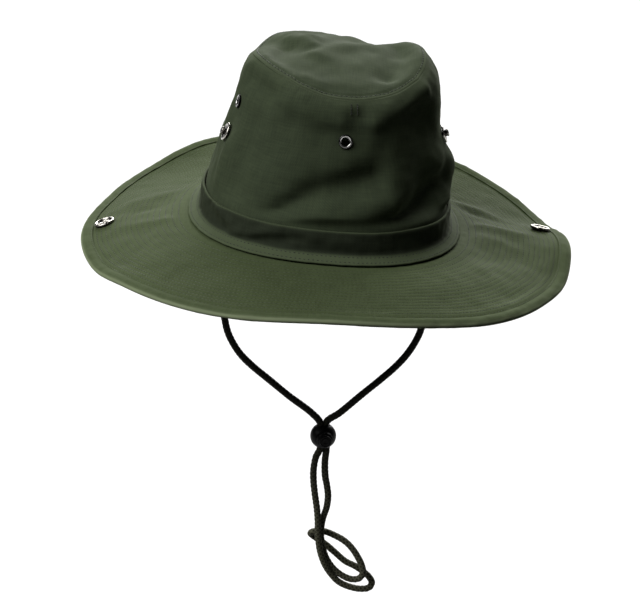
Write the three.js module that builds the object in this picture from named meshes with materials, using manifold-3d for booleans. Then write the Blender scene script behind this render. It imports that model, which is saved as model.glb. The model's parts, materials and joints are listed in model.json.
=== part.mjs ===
// A bush hat: soft oval crown, folded hat band, rows of stitching on a bound brim,
// vent eyelets, side snaps that hold the brim up, and a chin cord with a spring lock.
// Millimetres, +Z up. The wearer faces -Y. The origin is the middle of the head opening.
// Angles run round the hat: 0 is the +X side, 90 the back, 180 the -X side, 270 the front.
// Left and right are as seen from the front, so left is -X.

import * as THREE from "three";
import { mergeVertices } from "three/addons/utils/BufferGeometryUtils.js";
import Module from "manifold-3d";

const wasm = await Module();
wasm.setup();

const { degToRad, euclideanModulo, lerp } = THREE.MathUtils;

// ---------- driving dimensions ----------

const GAP = 0.3; // clearance that touching pieces keep
const CLOTH = 1.6; // two plies of cotton drill, in the crown and the brim
const CROWN_LEAN = degToRad(5); // the soft crown leans toward +X
const FRONT = 275; // middle of the crown's front, which is twisted round a little
const COLUMNS = 56; // points round each cloth piece

// The crown's side wall, from its foot to the seam of the tip. Square is 2 where the outline
// is an ellipse and more where it is boxier.
const CROWN_SECTIONS = [
  { share: 0.0, halfWidth: 85.5, halfDepth: 98, square: 2.4 },
  { share: 0.2, halfWidth: 84, halfDepth: 95.5, square: 2.35 },
  { share: 0.45, halfWidth: 77.5, halfDepth: 89.5, square: 2.3 },
  { share: 0.7, halfWidth: 68.9, halfDepth: 82, square: 2.2 },
  { share: 0.9, halfWidth: 65, halfDepth: 76.5, square: 2.1 },
  { share: 0.96, halfWidth: 62.2, halfDepth: 74.5, square: 2.1 },
  { share: 1.0, halfWidth: 58.2, halfDepth: 71.5, square: 2.1 },
];

// The seam between side wall and tip rises and dips round the crown.
const TIP_SEAM = [
  { angle: 0, height: 122 },
  { angle: 30, height: 120 },
  { angle: 55, height: 110 },
  { angle: 110, height: 115 },
  { angle: 140, height: 116 },
  { angle: 165, height: 112 },
  { angle: 200, height: 116 },
  { angle: 230, height: 113 },
  { angle: 270, height: 106 },
  { angle: 310, height: 108 },
  { angle: 335, height: 114 },
];

// Folds in the side wall. Each runs from one place to another; sag lifts its middle,
// width is half its breadth, and rise is how far it stands out (or, if negative, sinks in).
const CROWN_FOLDS = [
  { angle: 246, height: 22, toAngle: 290, toHeight: 57, sag: 8, width: 9, rise: -6 },
  { angle: 252, height: 23, toAngle: 298, toHeight: 40, sag: 3, width: 10, rise: 4.5 },
  { angle: 280, height: 21, toAngle: 345, toHeight: 47, sag: 5, width: 9, rise: -6 },
  { angle: 305, height: 28, toAngle: 352, toHeight: 28, sag: 0, width: 9, rise: 4 },
  { angle: 346, height: 98, toAngle: 372, toHeight: 98, sag: 0, width: 22, rise: 5 },
  { angle: 346, height: 52, toAngle: 376, toHeight: 50, sag: 0, width: 18, rise: 4.2 },
  { angle: 204, height: 56, toAngle: 205, toHeight: 36, sag: 0, width: 8, rise: 2 },
  { angle: 220, height: 76, toAngle: 220, toHeight: 36, sag: 0, width: 10, rise: -3 },
  { angle: 203, height: 104, toAngle: 227, toHeight: 100, sag: 0, width: 8, rise: -3 },
  { angle: 243, height: 99, toAngle: 272, toHeight: 92, sag: 0, width: 8, rise: 3 },
  { angle: 292, height: 92, toAngle: 332, toHeight: 108, sag: 0, width: 7, rise: 3 },
  { angle: 60, height: 40, toAngle: 118, toHeight: 62, sag: 6, width: 11, rise: -4 },
  { angle: 128, height: 66, toAngle: 160, toHeight: 38, sag: 0, width: 10, rise: -3.5 },
  { angle: 22, height: 40, toAngle: 50, toHeight: 66, sag: 4, width: 10, rise: -3.5 },
];

// Dents and ridges in the tip, as places on its plan.
const TIP_FOLDS = [
  { x: -34, y: 16, toX: -40, toY: -12, sag: 0, width: 10, rise: -3 },
  { x: -36, y: 36, toX: -22, toY: 20, sag: 0, width: 9, rise: 3 },
  { x: -20, y: 12, toX: 8, toY: 50, sag: 0, width: 12, rise: 3 },
  { x: 46, y: 18, toX: 36, toY: -34, sag: 0, width: 12, rise: -5 },
];
const TIP_DOME = 4; // how far the middle of the tip rises above its seam
const TIP_RIM = 0.95; // share of the tip's radius where its level rim begins

// The brim's outer edge, measured from the foot of the crown. Bow lifts the middle of its width.
const BRIM_EDGE = [
  { angle: 0, reach: 89, height: -21, bow: 2 },
  { angle: 20, reach: 85, height: -26, bow: 1 },
  { angle: 40, reach: 82, height: -15, bow: 0 },
  { angle: 60, reach: 80, height: -1, bow: 0 },
  { angle: 90, reach: 80, height: 10, bow: 0 },
  { angle: 120, reach: 80, height: 12, bow: 0 },
  { angle: 140, reach: 81, height: 0, bow: 0 },
  { angle: 160, reach: 81, height: -6, bow: 0 },
  { angle: 180, reach: 86, height: -11, bow: 2 },
  { angle: 200, reach: 81, height: -16, bow: 3 },
  { angle: 220, reach: 78, height: -12, bow: 3 },
  { angle: 250, reach: 80, height: -13, bow: 3 },
  { angle: 270, reach: 81, height: -13, bow: 3 },
  { angle: 290, reach: 79, height: -20, bow: 4 },
  { angle: 310, reach: 79, height: -29, bow: 5 },
  { angle: 330, reach: 81, height: -33, bow: 5 },
  { angle: 345, reach: 86, height: -32, bow: 3 },
];
const BRIM_SEAT = 12; // breadth of the flat ring at the crown's foot, under the hat band

const BAND_HEIGHT = 21;
const BAND_THICKNESS = 2;
const BAND_CLEAR = BAND_HEIGHT + 1; // the wall is smooth up to here
const BAND_FLARE = 9; // how far the band's foot turns out over the brim

const HEM_WIDTH = 8; // binding folded over the brim's edge
const HEM_THICKNESS = 1;

const EYELET = { radius: 4.6, hole: 2.8, barrel: 3.4, rim: 0.9 };
const EYELETS = [
  { name: "eyelet_front", angle: FRONT, height: 78 },
  { name: "eyelet_left", angle: 197, height: 85 },
  { name: "eyelet_right", angle: 4, height: 86 },
  { name: "eyelet_back", angle: 96, height: 82 },
];

const SNAP = { radius: 6.5, post: 2.6, postHeight: 4, shank: 1.4, cap: 5 };
const SOCKET = { radius: 7, stand: 0.6, rim: 2.1, well: 4.4, shank: 1.4, cap: 6 };
const SNAPS = [
  { side: "left", angle: 196, height: 63, brimAngle: 180, brimShare: 0.865 },
  { side: "right", angle: 358, height: 68, brimAngle: 9, brimShare: 0.88 },
];

const CORD_RADIUS = 2.25;
const CORD_SIDES = 8;
const CORD_STEPS = 72;
const STRAND = CORD_RADIUS + 0.1; // each strand's distance from the lock's middle

const TAB = { width: 12, height: 14, thickness: 5.2, below: 2.2 };

const LOCK_CENTRE = new THREE.Vector3(-0.5, 0, -168);
const LOCK_TURN = degToRad(8);
const LOCK_RADIUS = 9.5;
const BUTTON = { radius: 5.9, face: 4.5, front: -12, stroke: 2.2, heel: 1.6 };
const CORD_PLAY = 0.5; // clearance round the strands in the lock
const CORD_HOLE = { halfWidth: STRAND + CORD_RADIUS + CORD_PLAY, halfDepth: CORD_RADIUS + CORD_PLAY };

// The chin cord's route, from the tab inside the left of the crown to the one on the right.
const CORD_DOWN_LEFT = [
  [-78, 0, -20],
  [-75, 0, -45],
  [-71.2, 0, -76],
  [-69, 0, -87],
  [-65.2, 0, -96],
  [-59.5, 0, -105],
  [-51, 0, -114],
  [-40.8, 0, -123],
  [-25, 0, -137],
  [-9, 0, -150],
];
const CORD_LOOP = [
  [-5.6, -1, -184],
  [-7.4, -1.5, -193],
  [-7.6, -2, -202.5],
  [-6.5, -3, -214],
  [-5.1, -4, -224.5],
  [-4.5, -5, -233.5],
  [-4.4, -5.5, -241.5],
  [-4, -5.5, -249.5],
  [-2.6, -5, -259.5],
  [0.5, -4, -269.5],
  [4.9, -3, -278],
  [11, -2, -285.5],
  [18.5, -1, -290],
  [27, 0, -292.5],
  [34, 2.2, -292.5],
  [36, 5, -289.5],
  [33.5, 6.8, -285.5],
  [29.5, 6.5, -281.5],
  [24, 6, -277],
  [16, 6, -272.5],
  [8.4, 7, -265.8],
  [1.5, 8.5, -260],
  [-4.2, 9.6, -256.2],
  [-8.2, 9.5, -253],
  [-9.8, 7.4, -250.2],
  [-8.2, 5.4, -248],
  [-4, 5.2, -247],
  [1.5, 5, -247.8],
  [8.3, 4, -250.4],
  [15.2, 2.5, -254],
  [21, 1, -259.5],
  [25.2, 0, -266],
  [28.2, -1, -272.5],
  [29.2, -1.5, -278.5],
  [26.5, -1.5, -283],
  [21.5, -1.2, -284],
  [15.5, -1, -282],
  [9.4, -0.8, -277.5],
  [4.4, -0.6, -271.5],
  [0.9, -0.4, -264.5],
  [-1.2, -0.3, -256],
  [-2.1, -0.3, -249],
  [-2.1, -0.3, -242.5],
  [-0.6, -0.5, -234],
  [2.1, -0.5, -225],
  [3.1, -0.3, -216],
  [2.3, 0, -208],
  [1, 0, -200],
  [0.8, 0.2, -189],
];
const CORD_UP_RIGHT = [
  [11.5, 0, -150],
  [26, 0, -137],
  [42, 0, -123],
  [51.6, 0, -114],
  [59.3, 0, -105],
  [65, 0, -96],
  [69, 0, -87],
  [71.5, 0, -76],
  [74.5, 0, -50],
  [77, 0, -28],
];

// ---------- colours ----------

const CLOTH_COLOURS = { crown: "#3a4131", band: "#434b37", brim: "#525c43", hem: "#59634a" };

function clothMaterial(colour) {
  return new THREE.MeshStandardMaterial({ color: colour, roughness: 0.95, metalness: 0 });
}

function metalMaterial() {
  return new THREE.MeshStandardMaterial({ color: "#a9aca8", roughness: 0.35, metalness: 1 });
}

function cordMaterial() {
  return new THREE.MeshStandardMaterial({ color: "#15161a", roughness: 0.8, metalness: 0 });
}

function plasticMaterial() {
  return new THREE.MeshStandardMaterial({ color: "#17181b", roughness: 0.4, metalness: 0 });
}

// ---------- curves through the tables ----------

// A smooth curve through one column of a table. With a period, its ends join up.
function curveThrough(rows, at, column, period = 0) {
  let knots = rows.map((row) => ({ x: row[at], y: row[column] }));
  if (period) {
    const before = knots.slice(-2).map((knot) => ({ x: knot.x - period, y: knot.y }));
    const after = knots.slice(0, 2).map((knot) => ({ x: knot.x + period, y: knot.y }));
    knots = [...before, ...knots, ...after];
  }
  const slopeAt = (index) => {
    const left = knots[Math.max(index - 1, 0)];
    const right = knots[Math.min(index + 1, knots.length - 1)];
    return (right.y - left.y) / (right.x - left.x);
  };
  return (value) => {
    const x = period ? euclideanModulo(value, period) : value;
    let index = 0;
    while (index < knots.length - 2 && x > knots[index + 1].x) {
      index += 1;
    }
    const start = knots[index];
    const end = knots[index + 1];
    const span = end.x - start.x;
    const t = (x - start.x) / span;
    const startPull = (t * t * t - 2 * t * t + t) * span * slopeAt(index);
    const endPull = (t * t * t - t * t) * span * slopeAt(index + 1);
    const blend = t * t * (3 - 2 * t);
    return lerp(start.y, end.y, blend) + startPull + endPull;
  };
}

const crownHalfWidth = curveThrough(CROWN_SECTIONS, "share", "halfWidth");
const crownHalfDepth = curveThrough(CROWN_SECTIONS, "share", "halfDepth");
const crownSquare = curveThrough(CROWN_SECTIONS, "share", "square");
const seamHeight = curveThrough(TIP_SEAM, "angle", "height", 360);
const brimReach = curveThrough(BRIM_EDGE, "angle", "reach", 360);
const brimHeight = curveThrough(BRIM_EDGE, "angle", "height", 360);
const brimBow = curveThrough(BRIM_EDGE, "angle", "bow", 360);

// The crown's smooth outline at a share of its height: a point, and the direction out of it.
function crownOutline(angle, share) {
  const raised = (value, power) => Math.sign(value) * Math.abs(value) ** power;
  const turn = degToRad(angle);
  const across = Math.cos(turn);
  const along = Math.sin(turn);
  const halfWidth = crownHalfWidth(share);
  const halfDepth = crownHalfDepth(share);
  const power = 2 / crownSquare(share);
  const x = raised(across, power);
  const y = raised(along, power);
  const outX = raised(across, 2 - power) / halfWidth;
  const outY = raised(along, 2 - power) / halfDepth;
  return {
    point: new THREE.Vector3(halfWidth * x, halfDepth * y, 0),
    out: new THREE.Vector3(outX, outY, 0).normalize(),
  };
}

// How far a fold lifts the cloth at a point of its plane: a rounded ridge along a sagging line.
function foldLift(point, start, end, fold) {
  const run = end.clone().sub(start);
  const along = THREE.MathUtils.clamp(point.clone().sub(start).dot(run) / run.lengthSq(), 0, 1);
  const nearest = start.clone().addScaledVector(run, along);
  nearest.y += fold.sag * 4 * along * (1 - along);
  const distance = nearest.distanceTo(point) / fold.width;
  return fold.rise * Math.exp(-distance * distance);
}

// ---------- the crown ----------

const WALL_RADIUS = 80; // the side wall is unrolled on this radius to measure its folds

function crownFoldLift(angle, height) {
  const unrolled = (degrees, up) => new THREE.Vector2(degToRad(degrees) * WALL_RADIUS, up);
  // the folds die out at the hat band and at the seam of the tip
  const fade = THREE.MathUtils.smoothstep(height, BAND_CLEAR, BAND_CLEAR + 8);
  let lift = 0;
  for (const fold of CROWN_FOLDS) {
    const start = unrolled(fold.angle, fold.height);
    const end = unrolled(fold.toAngle, fold.toHeight);
    for (const turn of [-360, 0, 360]) {
      lift += foldLift(unrolled(angle + turn, height), start, end, fold);
    }
  }
  return lift * fade;
}

// A point on the side wall, or depth behind its outer face.
function crownWall(angle, share, depth = 0) {
  const height = share * seamHeight(angle);
  const { point, out } = crownOutline(angle, share);
  return point.setZ(height).addScaledVector(out, crownFoldLift(angle, height) - depth);
}

// The wall at a height: the point, and the direction straight out of the cloth.
function crownSeat(angle, height) {
  const share = height / seamHeight(angle);
  const place = crownWall(angle, share);
  const across = crownWall(angle + 3, share).sub(crownWall(angle - 3, share));
  const up = crownWall(angle, share + 0.03).sub(crownWall(angle, share - 0.03));
  return { place, out: across.cross(up).normalize() };
}

// A point of the tip. Share is 1 at its seam and 0 at its middle.
function crownTip(angle, share, depth = 0) {
  const { x, y } = crownOutline(angle, 1).point.multiplyScalar(share);
  const middleHeight = (seamHeight(0) + seamHeight(90) + seamHeight(180) + seamHeight(270)) / 4;
  const inside = Math.min(share / TIP_RIM, 1);
  const height = lerp(middleHeight, seamHeight(angle), inside * inside);
  const fade = 1 - THREE.MathUtils.smoothstep(inside, 0.75, 1);
  let lift = TIP_DOME * (1 - inside * inside);
  for (const fold of TIP_FOLDS) {
    const start = new THREE.Vector2(fold.x, fold.y);
    const end = new THREE.Vector2(fold.toX, fold.toY);
    lift += foldLift(new THREE.Vector2(x, y), start, end, fold) * fade;
  }
  return new THREE.Vector3(x, y, height + GAP + CLOTH + lift - depth);
}

// ---------- the brim ----------

// A point level with the crown's foot, so far out from its wall, in the leaning crown's frame.
function besideCrown(angle, offset, height) {
  const { point, out } = crownOutline(angle, Math.max(height, 0) / seamHeight(angle));
  return point.setZ(height).addScaledVector(out, offset);
}

function leaned(point) {
  return point.applyAxisAngle(new THREE.Vector3(0, 1, 0), CROWN_LEAN);
}

// The brim's edge: its top corner, and the directions out of it and up from it.
function brimEdge(angle) {
  const seat = leaned(besideCrown(angle, BRIM_SEAT, -GAP));
  const foot = leaned(besideCrown(angle, 0, -GAP));
  const level = seat.clone().sub(foot).setZ(0).normalize();
  const corner = foot.clone().addScaledVector(level, brimReach(angle) - HEM_THICKNESS - GAP);
  corner.z = brimHeight(angle);
  const middle = seat.clone().lerp(corner, 0.5);
  middle.z += brimBow(angle);
  const out = corner.clone().sub(middle).normalize();
  const side = new THREE.Vector3(0, 0, 1).cross(level);
  const up = out.clone().cross(side).normalize();
  return { seat, middle, corner, out, up };
}

// A point of the brim's upper face. Share is 0 at the hat band and 1 just inside the hem.
function brimCurve(angle, share) {
  const { seat, middle, corner, out } = brimEdge(angle);
  const hemLine = corner.clone().addScaledVector(out, -HEM_WIDTH - 1);
  const control = middle.clone().lerp(hemLine, 0.1);
  const first = seat.clone().lerp(control, share);
  const second = control.lerp(hemLine, share);
  return first.lerp(second, share);
}

const BRIM_ROWS = [
  { at: "edge" },
  { at: "curve", share: 1 },
  { at: "curve", share: 0.67 },
  { at: "curve", share: 0.33 },
  { at: "curve", share: 0 },
  { at: "foot" },
];

function brimFace(angle, row, depth = 0) {
  const place = {
    edge: () => brimEdge(angle).corner,
    curve: () => brimCurve(angle, row.share),
    foot: () => leaned(besideCrown(angle, -CLOTH, -GAP)),
  }[row.at]();
  return place.addScaledVector(brimEdge(angle).up, -depth);
}

// ---------- turning points into closed meshes ----------

// Joins points that coincide and leaves out triangles with no area.
function closedGeometry(points, faces) {
  const raw = new THREE.BufferGeometry();
  raw.setAttribute("position", new THREE.Float32BufferAttribute(points.flatMap((p) => [...p]), 3));
  raw.setIndex(faces.flat());
  const merged = mergeVertices(raw, 1e-4);
  const index = merged.index.array;
  const kept = [];
  for (let i = 0; i < index.length; i += 3) {
    const [a, b, c] = index.slice(i, i + 3);
    if (a !== b && b !== c && c !== a) {
      kept.push(a, b, c);
    }
  }
  merged.setIndex(kept);
  return merged;
}

function quad(a, b, c, d) {
  return [a, b, c, a, c, d];
}

// A cloth skin: place(angle, row, depth) gives its outer face at depth 0 and its inner face at
// depth thickness. Rows run upward on a wall, and from the rim inward on a flat piece.
function skin(place, rows, thickness, columns = COLUMNS) {
  const points = [];
  for (const depth of [0, thickness]) {
    for (const row of rows) {
      for (let column = 0; column < columns; column += 1) {
        points.push(place((360 * column) / columns, row, depth));
      }
    }
  }
  const at = (face, row, column) => (face * rows.length + row) * columns + (column % columns);
  const last = rows.length - 1;
  const faces = [];
  for (let c = 0; c < columns; c += 1) {
    for (let r = 0; r < last; r += 1) {
      faces.push(quad(at(0, r, c), at(0, r, c + 1), at(0, r + 1, c + 1), at(0, r + 1, c)));
      faces.push(quad(at(1, r, c), at(1, r + 1, c), at(1, r + 1, c + 1), at(1, r, c + 1)));
    }
    faces.push(quad(at(1, 0, c), at(1, 0, c + 1), at(0, 0, c + 1), at(0, 0, c)));
    faces.push(quad(at(0, last, c), at(0, last, c + 1), at(1, last, c + 1), at(1, last, c)));
  }
  return closedGeometry(points, faces);
}

// A hoop: section(angle) gives its closed outline there, the same number of points each time.
function hoop(section, columns = COLUMNS) {
  const points = [];
  for (let column = 0; column < columns; column += 1) {
    points.push(...section((360 * column) / columns));
  }
  const size = points.length / columns;
  const at = (column, corner) => (column % columns) * size + (corner % size);
  const faces = [];
  for (let c = 0; c < columns; c += 1) {
    for (let k = 0; k < size; k += 1) {
      faces.push(quad(at(c, k), at(c + 1, k), at(c + 1, k + 1), at(c, k + 1)));
    }
  }
  return closedGeometry(points, faces);
}

function toSolid(geometry) {
  const bare = geometry.clone();
  bare.deleteAttribute("normal");
  bare.deleteAttribute("uv");
  const merged = mergeVertices(bare, 1e-4);
  const vertProperties = Float32Array.from(merged.attributes.position.array);
  const triVerts = Uint32Array.from(merged.index.array);
  return new wasm.Manifold(new wasm.Mesh({ numProp: 3, vertProperties, triVerts }));
}

function cutOut(geometry, cutters) {
  const solid = cutters.reduce((left, cutter) => left.subtract(toSolid(cutter)), toSolid(geometry));
  const { vertProperties, triVerts } = solid.getMesh();
  const result = new THREE.BufferGeometry();
  result.setAttribute("position", new THREE.BufferAttribute(vertProperties, 3));
  result.setIndex(new THREE.BufferAttribute(triVerts, 1));
  return result;
}

// A turned piece: its profile is radius and height pairs, counter-clockwise round the metal.
function turned(profile, sides) {
  const outline = [...profile, profile[0]].map(([radius, height]) => new THREE.Vector2(radius, height));
  return new THREE.LatheGeometry(outline, sides);
}

// Stands a piece, made upright along Y, on a seat.
function seatMatrix({ place, out }) {
  const turn = new THREE.Quaternion().setFromUnitVectors(new THREE.Vector3(0, 1, 0), out);
  return new THREE.Matrix4().compose(place, turn, new THREE.Vector3(1, 1, 1));
}

function drill(seat, radius) {
  const length = 20;
  return new THREE.CylinderGeometry(radius, radius, length, 12).applyMatrix4(seatMatrix(seat));
}

function piece(name, geometry, material) {
  const mesh = new THREE.Mesh(geometry, material);
  mesh.name = name;
  return mesh;
}

function seated(name, geometry, material, seat) {
  const mesh = piece(name, geometry, material);
  mesh.applyMatrix4(seatMatrix(seat));
  return mesh;
}

// ---------- cloth pieces ----------

const eyeletSeats = EYELETS.map(({ angle, height }) => crownSeat(angle, height));
const snapSeats = SNAPS.map(({ angle, height }) => crownSeat(angle, height));

const WALL_ROWS = 12;

// Row 0 is the wall's foot, row 1 is just above the hat band, and the last is the tip's seam.
function wallRow(angle, row, depth) {
  const start = BAND_CLEAR / seamHeight(angle);
  const share = row === 0 ? 0 : lerp(start, 1, (row - 1) / (WALL_ROWS - 1));
  return crownWall(angle, share, depth);
}

function makeCrownSide() {
  const rows = Array.from({ length: WALL_ROWS + 1 }, (_, row) => row);
  const wall = skin(wallRow, rows, CLOTH);
  const holes = [
    ...eyeletSeats.map((seat) => drill(seat, EYELET.barrel + GAP)),
    ...snapSeats.map((seat) => drill(seat, SNAP.shank + GAP)),
  ];
  return piece("crown_side", cutOut(wall, holes), clothMaterial(CLOTH_COLOURS.crown));
}

function makeCrownTip() {
  const rings = [1, TIP_RIM, 0.77, 0.59, 0.41, 0.22, 0];
  return piece("crown_tip", skin(crownTip, rings, CLOTH), clothMaterial(CLOTH_COLOURS.crown));
}

// The band is a folded strip whose foot flares out and lies on the brim.
function makeHatBand() {
  const bend = BAND_FLARE - BAND_THICKNESS;
  const section = (angle) => {
    const at = (offset, height) => besideCrown(angle, offset, height);
    const outer = GAP + BAND_THICKNESS;
    const curve = [15, 50].map((degrees) => {
      const turn = degToRad(degrees);
      return at(outer + bend * (1 - Math.sin(turn)), BAND_THICKNESS * 0.6 + bend * (1 - Math.cos(turn)));
    });
    return [
      at(GAP, 0),
      at(outer + bend, 0),
      ...curve,
      at(outer, BAND_THICKNESS * 0.6 + bend),
      at(outer, BAND_HEIGHT),
      at(GAP, BAND_HEIGHT),
    ];
  };
  return piece("hat_band", hoop(section), clothMaterial(CLOTH_COLOURS.band));
}

const socketSeats = SNAPS.map(({ brimAngle: angle, brimShare: share }) => {
  const place = brimCurve(angle, share);
  const along = brimCurve(angle + 2, share).sub(brimCurve(angle - 2, share));
  const across = brimCurve(angle, share + 0.03).sub(brimCurve(angle, share - 0.03));
  return { place, out: across.cross(along).normalize() };
});

function makeBrim() {
  const holes = socketSeats.map((seat) => drill(seat, SOCKET.shank + GAP));
  const brim = cutOut(skin(brimFace, BRIM_ROWS, CLOTH), holes);
  return piece("brim", brim, clothMaterial(CLOTH_COLOURS.brim));
}

// The binding is folded over the brim's edge, so its section is a narrow U lying on its side.
function makeBrimHem() {
  const section = (angle) => {
    const { corner, out, up } = brimEdge(angle);
    const at = (outward, upward) =>
      corner.clone().addScaledVector(out, outward).addScaledVector(up, upward);
    const inside = { top: GAP, bottom: -CLOTH - GAP, end: GAP };
    const outside = {
      top: inside.top + HEM_THICKNESS,
      bottom: inside.bottom - HEM_THICKNESS,
      end: inside.end + HEM_THICKNESS,
    };
    return [
      at(-HEM_WIDTH, outside.bottom),
      at(outside.end, outside.bottom),
      at(outside.end, outside.top),
      at(-HEM_WIDTH, outside.top),
      at(-HEM_WIDTH, inside.top),
      at(inside.end, inside.top),
      at(inside.end, inside.bottom),
      at(-HEM_WIDTH, inside.bottom),
    ];
  };
  return piece("brim_hem", hoop(section), clothMaterial(CLOTH_COLOURS.hem));
}

// ---------- metal pieces ----------

// An eyelet grips the wall between its rim and the flange rolled over inside.
function makeEyelets() {
  const { radius, hole, barrel, rim } = EYELET;
  const front = GAP + 0.25;
  const back = -CLOTH - front;
  const profile = [
    [hole, back - 0.6],
    [radius - 0.6, back - 0.6],
    [radius - 0.6, back],
    [barrel, back],
    [barrel, front],
    [radius, front],
    [(radius + hole) / 2, front + rim],
    [hole, front],
  ];
  return EYELETS.map(({ name }, index) =>
    seated(name, turned(profile, 12), metalMaterial(), eyeletSeats[index]),
  );
}

// A stud: a ring base with a headed post outside the wall, riveted to a cap inside.
function makeStuds() {
  const { radius, post, postHeight, shank, cap } = SNAP;
  const front = GAP + 0.4;
  const back = -CLOTH - front;
  const profile = [
    [0, back - 0.9],
    [cap, back - 0.9],
    [cap, back],
    [shank, back],
    [shank, front],
    [radius, front],
    [radius - 0.6, front + 1.2],
    [post - 0.3, front + 1.2],
    [post - 0.3, front + postHeight - 1.6],
    [post, front + postHeight - 1],
    [post - 0.4, front + postHeight],
    [0, front + postHeight],
  ];
  return SNAPS.map(({ side }, index) =>
    seated(`crown_snap_${side}`, turned(profile, 12), metalMaterial(), snapSeats[index]),
  );
}

// A socket: a dished disc just inside the hem, riveted through the brim to a cap below.
function makeSockets() {
  const { radius, stand, rim, well, shank, cap } = SOCKET;
  const back = -CLOTH - stand;
  const profile = [
    [0, back - 0.9],
    [cap, back - 0.9],
    [cap, back],
    [shank, back],
    [shank, stand],
    [radius, stand],
    [radius, rim],
    [radius - 0.8, rim + 0.3],
    [well + 0.5, rim - 0.1],
    [well, rim - 0.9],
    [0, rim - 0.9],
  ];
  return SNAPS.map(({ side }, index) =>
    seated(`brim_snap_${side}`, turned(profile, 12), metalMaterial(), socketSeats[index]),
  );
}

// ---------- chin cord, its tabs and its lock ----------

// The middle of a tab that hangs against the inside of the crown's foot.
function tabCentre(side) {
  const wall = crownHalfWidth((TAB.height - TAB.below) / seamHeight(0)) - CLOTH;
  const inside = wall - 2 * GAP - TAB.thickness / 2;
  return new THREE.Vector3(side * inside, 0, TAB.height / 2 - TAB.below);
}

function makeTabs() {
  const outline = new THREE.Shape();
  outline.moveTo(-TAB.thickness / 2, -TAB.height / 2);
  outline.lineTo(TAB.thickness / 2, -TAB.height / 2);
  outline.lineTo(TAB.thickness / 2, TAB.height / 2 - 2);
  outline.lineTo(0, TAB.height / 2);
  outline.lineTo(-TAB.thickness / 2, TAB.height / 2 - 2);
  const options = { depth: TAB.width, bevelEnabled: false };
  return [
    { name: "cord_tab_left", side: -1 },
    { name: "cord_tab_right", side: 1 },
  ].map(({ name, side }) => {
    const tab = new THREE.ExtrudeGeometry(outline, options);
    tab.translate(0, 0, -TAB.width / 2).rotateX(Math.PI / 2);
    const mesh = piece(name, tab, clothMaterial(CLOTH_COLOURS.brim));
    mesh.position.copy(tabCentre(side));
    return mesh;
  });
}

function cordStart(side) {
  const centre = tabCentre(side);
  return leaned(centre.setZ(-TAB.below - 2 * GAP));
}

function strandInLock(side) {
  const beside = new THREE.Vector3(side * STRAND, 0, 0);
  return beside.applyAxisAngle(new THREE.Vector3(0, 0, 1), LOCK_TURN).add(LOCK_CENTRE);
}

function throughLock(side) {
  const middle = strandInLock(side);
  const over = new THREE.Vector3(0, 0, LOCK_RADIUS + 1);
  return [middle.clone().add(over), middle, middle.clone().sub(over)];
}

function makeCord() {
  const route = [
    cordStart(-1),
    ...CORD_DOWN_LEFT.map((point) => new THREE.Vector3(...point)),
    ...throughLock(-1),
    ...CORD_LOOP.map((point) => new THREE.Vector3(...point)),
    ...throughLock(1).reverse(),
    ...CORD_UP_RIGHT.map((point) => new THREE.Vector3(...point)),
    cordStart(1),
  ];
  const path = new THREE.CatmullRomCurve3(route, false, "centripetal");
  const section = new THREE.Shape();
  for (let side = 0; side < CORD_SIDES; side += 1) {
    const turn = (2 * Math.PI * side) / CORD_SIDES;
    const x = CORD_RADIUS * Math.cos(turn);
    const y = CORD_RADIUS * Math.sin(turn);
    if (side === 0) {
      section.moveTo(x, y);
    } else {
      section.lineTo(x, y);
    }
  }
  const tube = new THREE.ExtrudeGeometry(section, { steps: CORD_STEPS, extrudePath: path });
  return piece("chin_cord", tube, cordMaterial());
}

// A slot with round ends, cut along Z through the lock.
function cordSlot(halfWidth, front, back, length) {
  const radius = CORD_HOLE.halfDepth;
  const slot = new THREE.Shape();
  slot.absarc(halfWidth - radius, back - radius, radius, 0, Math.PI / 2);
  slot.absarc(radius - halfWidth, back - radius, radius, Math.PI / 2, Math.PI);
  slot.absarc(radius - halfWidth, front + radius, radius, Math.PI, 1.5 * Math.PI);
  slot.absarc(halfWidth - radius, front + radius, radius, 1.5 * Math.PI, 2 * Math.PI);
  const options = { depth: length, bevelEnabled: false, curveSegments: 4 };
  return new THREE.ExtrudeGeometry(slot, options).translate(0, 0, -length / 2);
}

// The button slides along Y. Released, its far slot edge holds the strands.
function makeLock() {
  const { halfWidth, halfDepth } = CORD_HOLE;
  const heelEnd = halfDepth + BUTTON.heel;
  const boreEnd = heelEnd + BUTTON.stroke + GAP;
  const boreLength = boreEnd + 2 * LOCK_RADIUS;
  const boreRadius = BUTTON.radius + GAP;
  const bore = new THREE.CylinderGeometry(boreRadius, boreRadius, boreLength, 16);
  bore.translate(0, boreEnd - boreLength / 2, 0);
  const ball = new THREE.SphereGeometry(LOCK_RADIUS, 16, 10);
  const ballSlot = cordSlot(halfWidth, -halfDepth, halfDepth, 3 * LOCK_RADIUS);
  const body = piece("cord_lock_body", cutOut(ball, [bore, ballSlot]), plasticMaterial());

  const profile = [
    [0, BUTTON.front + 0.4],
    [1.6, BUTTON.front + 0.4],
    [2, BUTTON.front],
    [BUTTON.face - 0.5, BUTTON.front],
    [BUTTON.face, BUTTON.front + 0.5],
    [BUTTON.face, BUTTON.front + 1.6],
    [BUTTON.radius, BUTTON.front + 2.6],
    [BUTTON.radius, heelEnd],
    [0, heelEnd],
  ];
  const plunger = turned(profile, 12);
  const plungerSlot = cordSlot(halfWidth, -halfDepth - BUTTON.stroke, halfDepth, 3 * LOCK_RADIUS);
  const button = piece("cord_lock_button", cutOut(plunger, [plungerSlot]), plasticMaterial());

  const lock = new THREE.Group();
  lock.add(body, button);
  lock.position.copy(LOCK_CENTRE);
  lock.rotation.z = LOCK_TURN;
  return lock;
}

// ---------- the hat ----------

const crown = new THREE.Group();
crown.add(makeCrownSide(), makeCrownTip(), makeHatBand());
crown.add(...makeEyelets(), ...makeStuds(), ...makeTabs());
crown.rotation.y = CROWN_LEAN;

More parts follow.
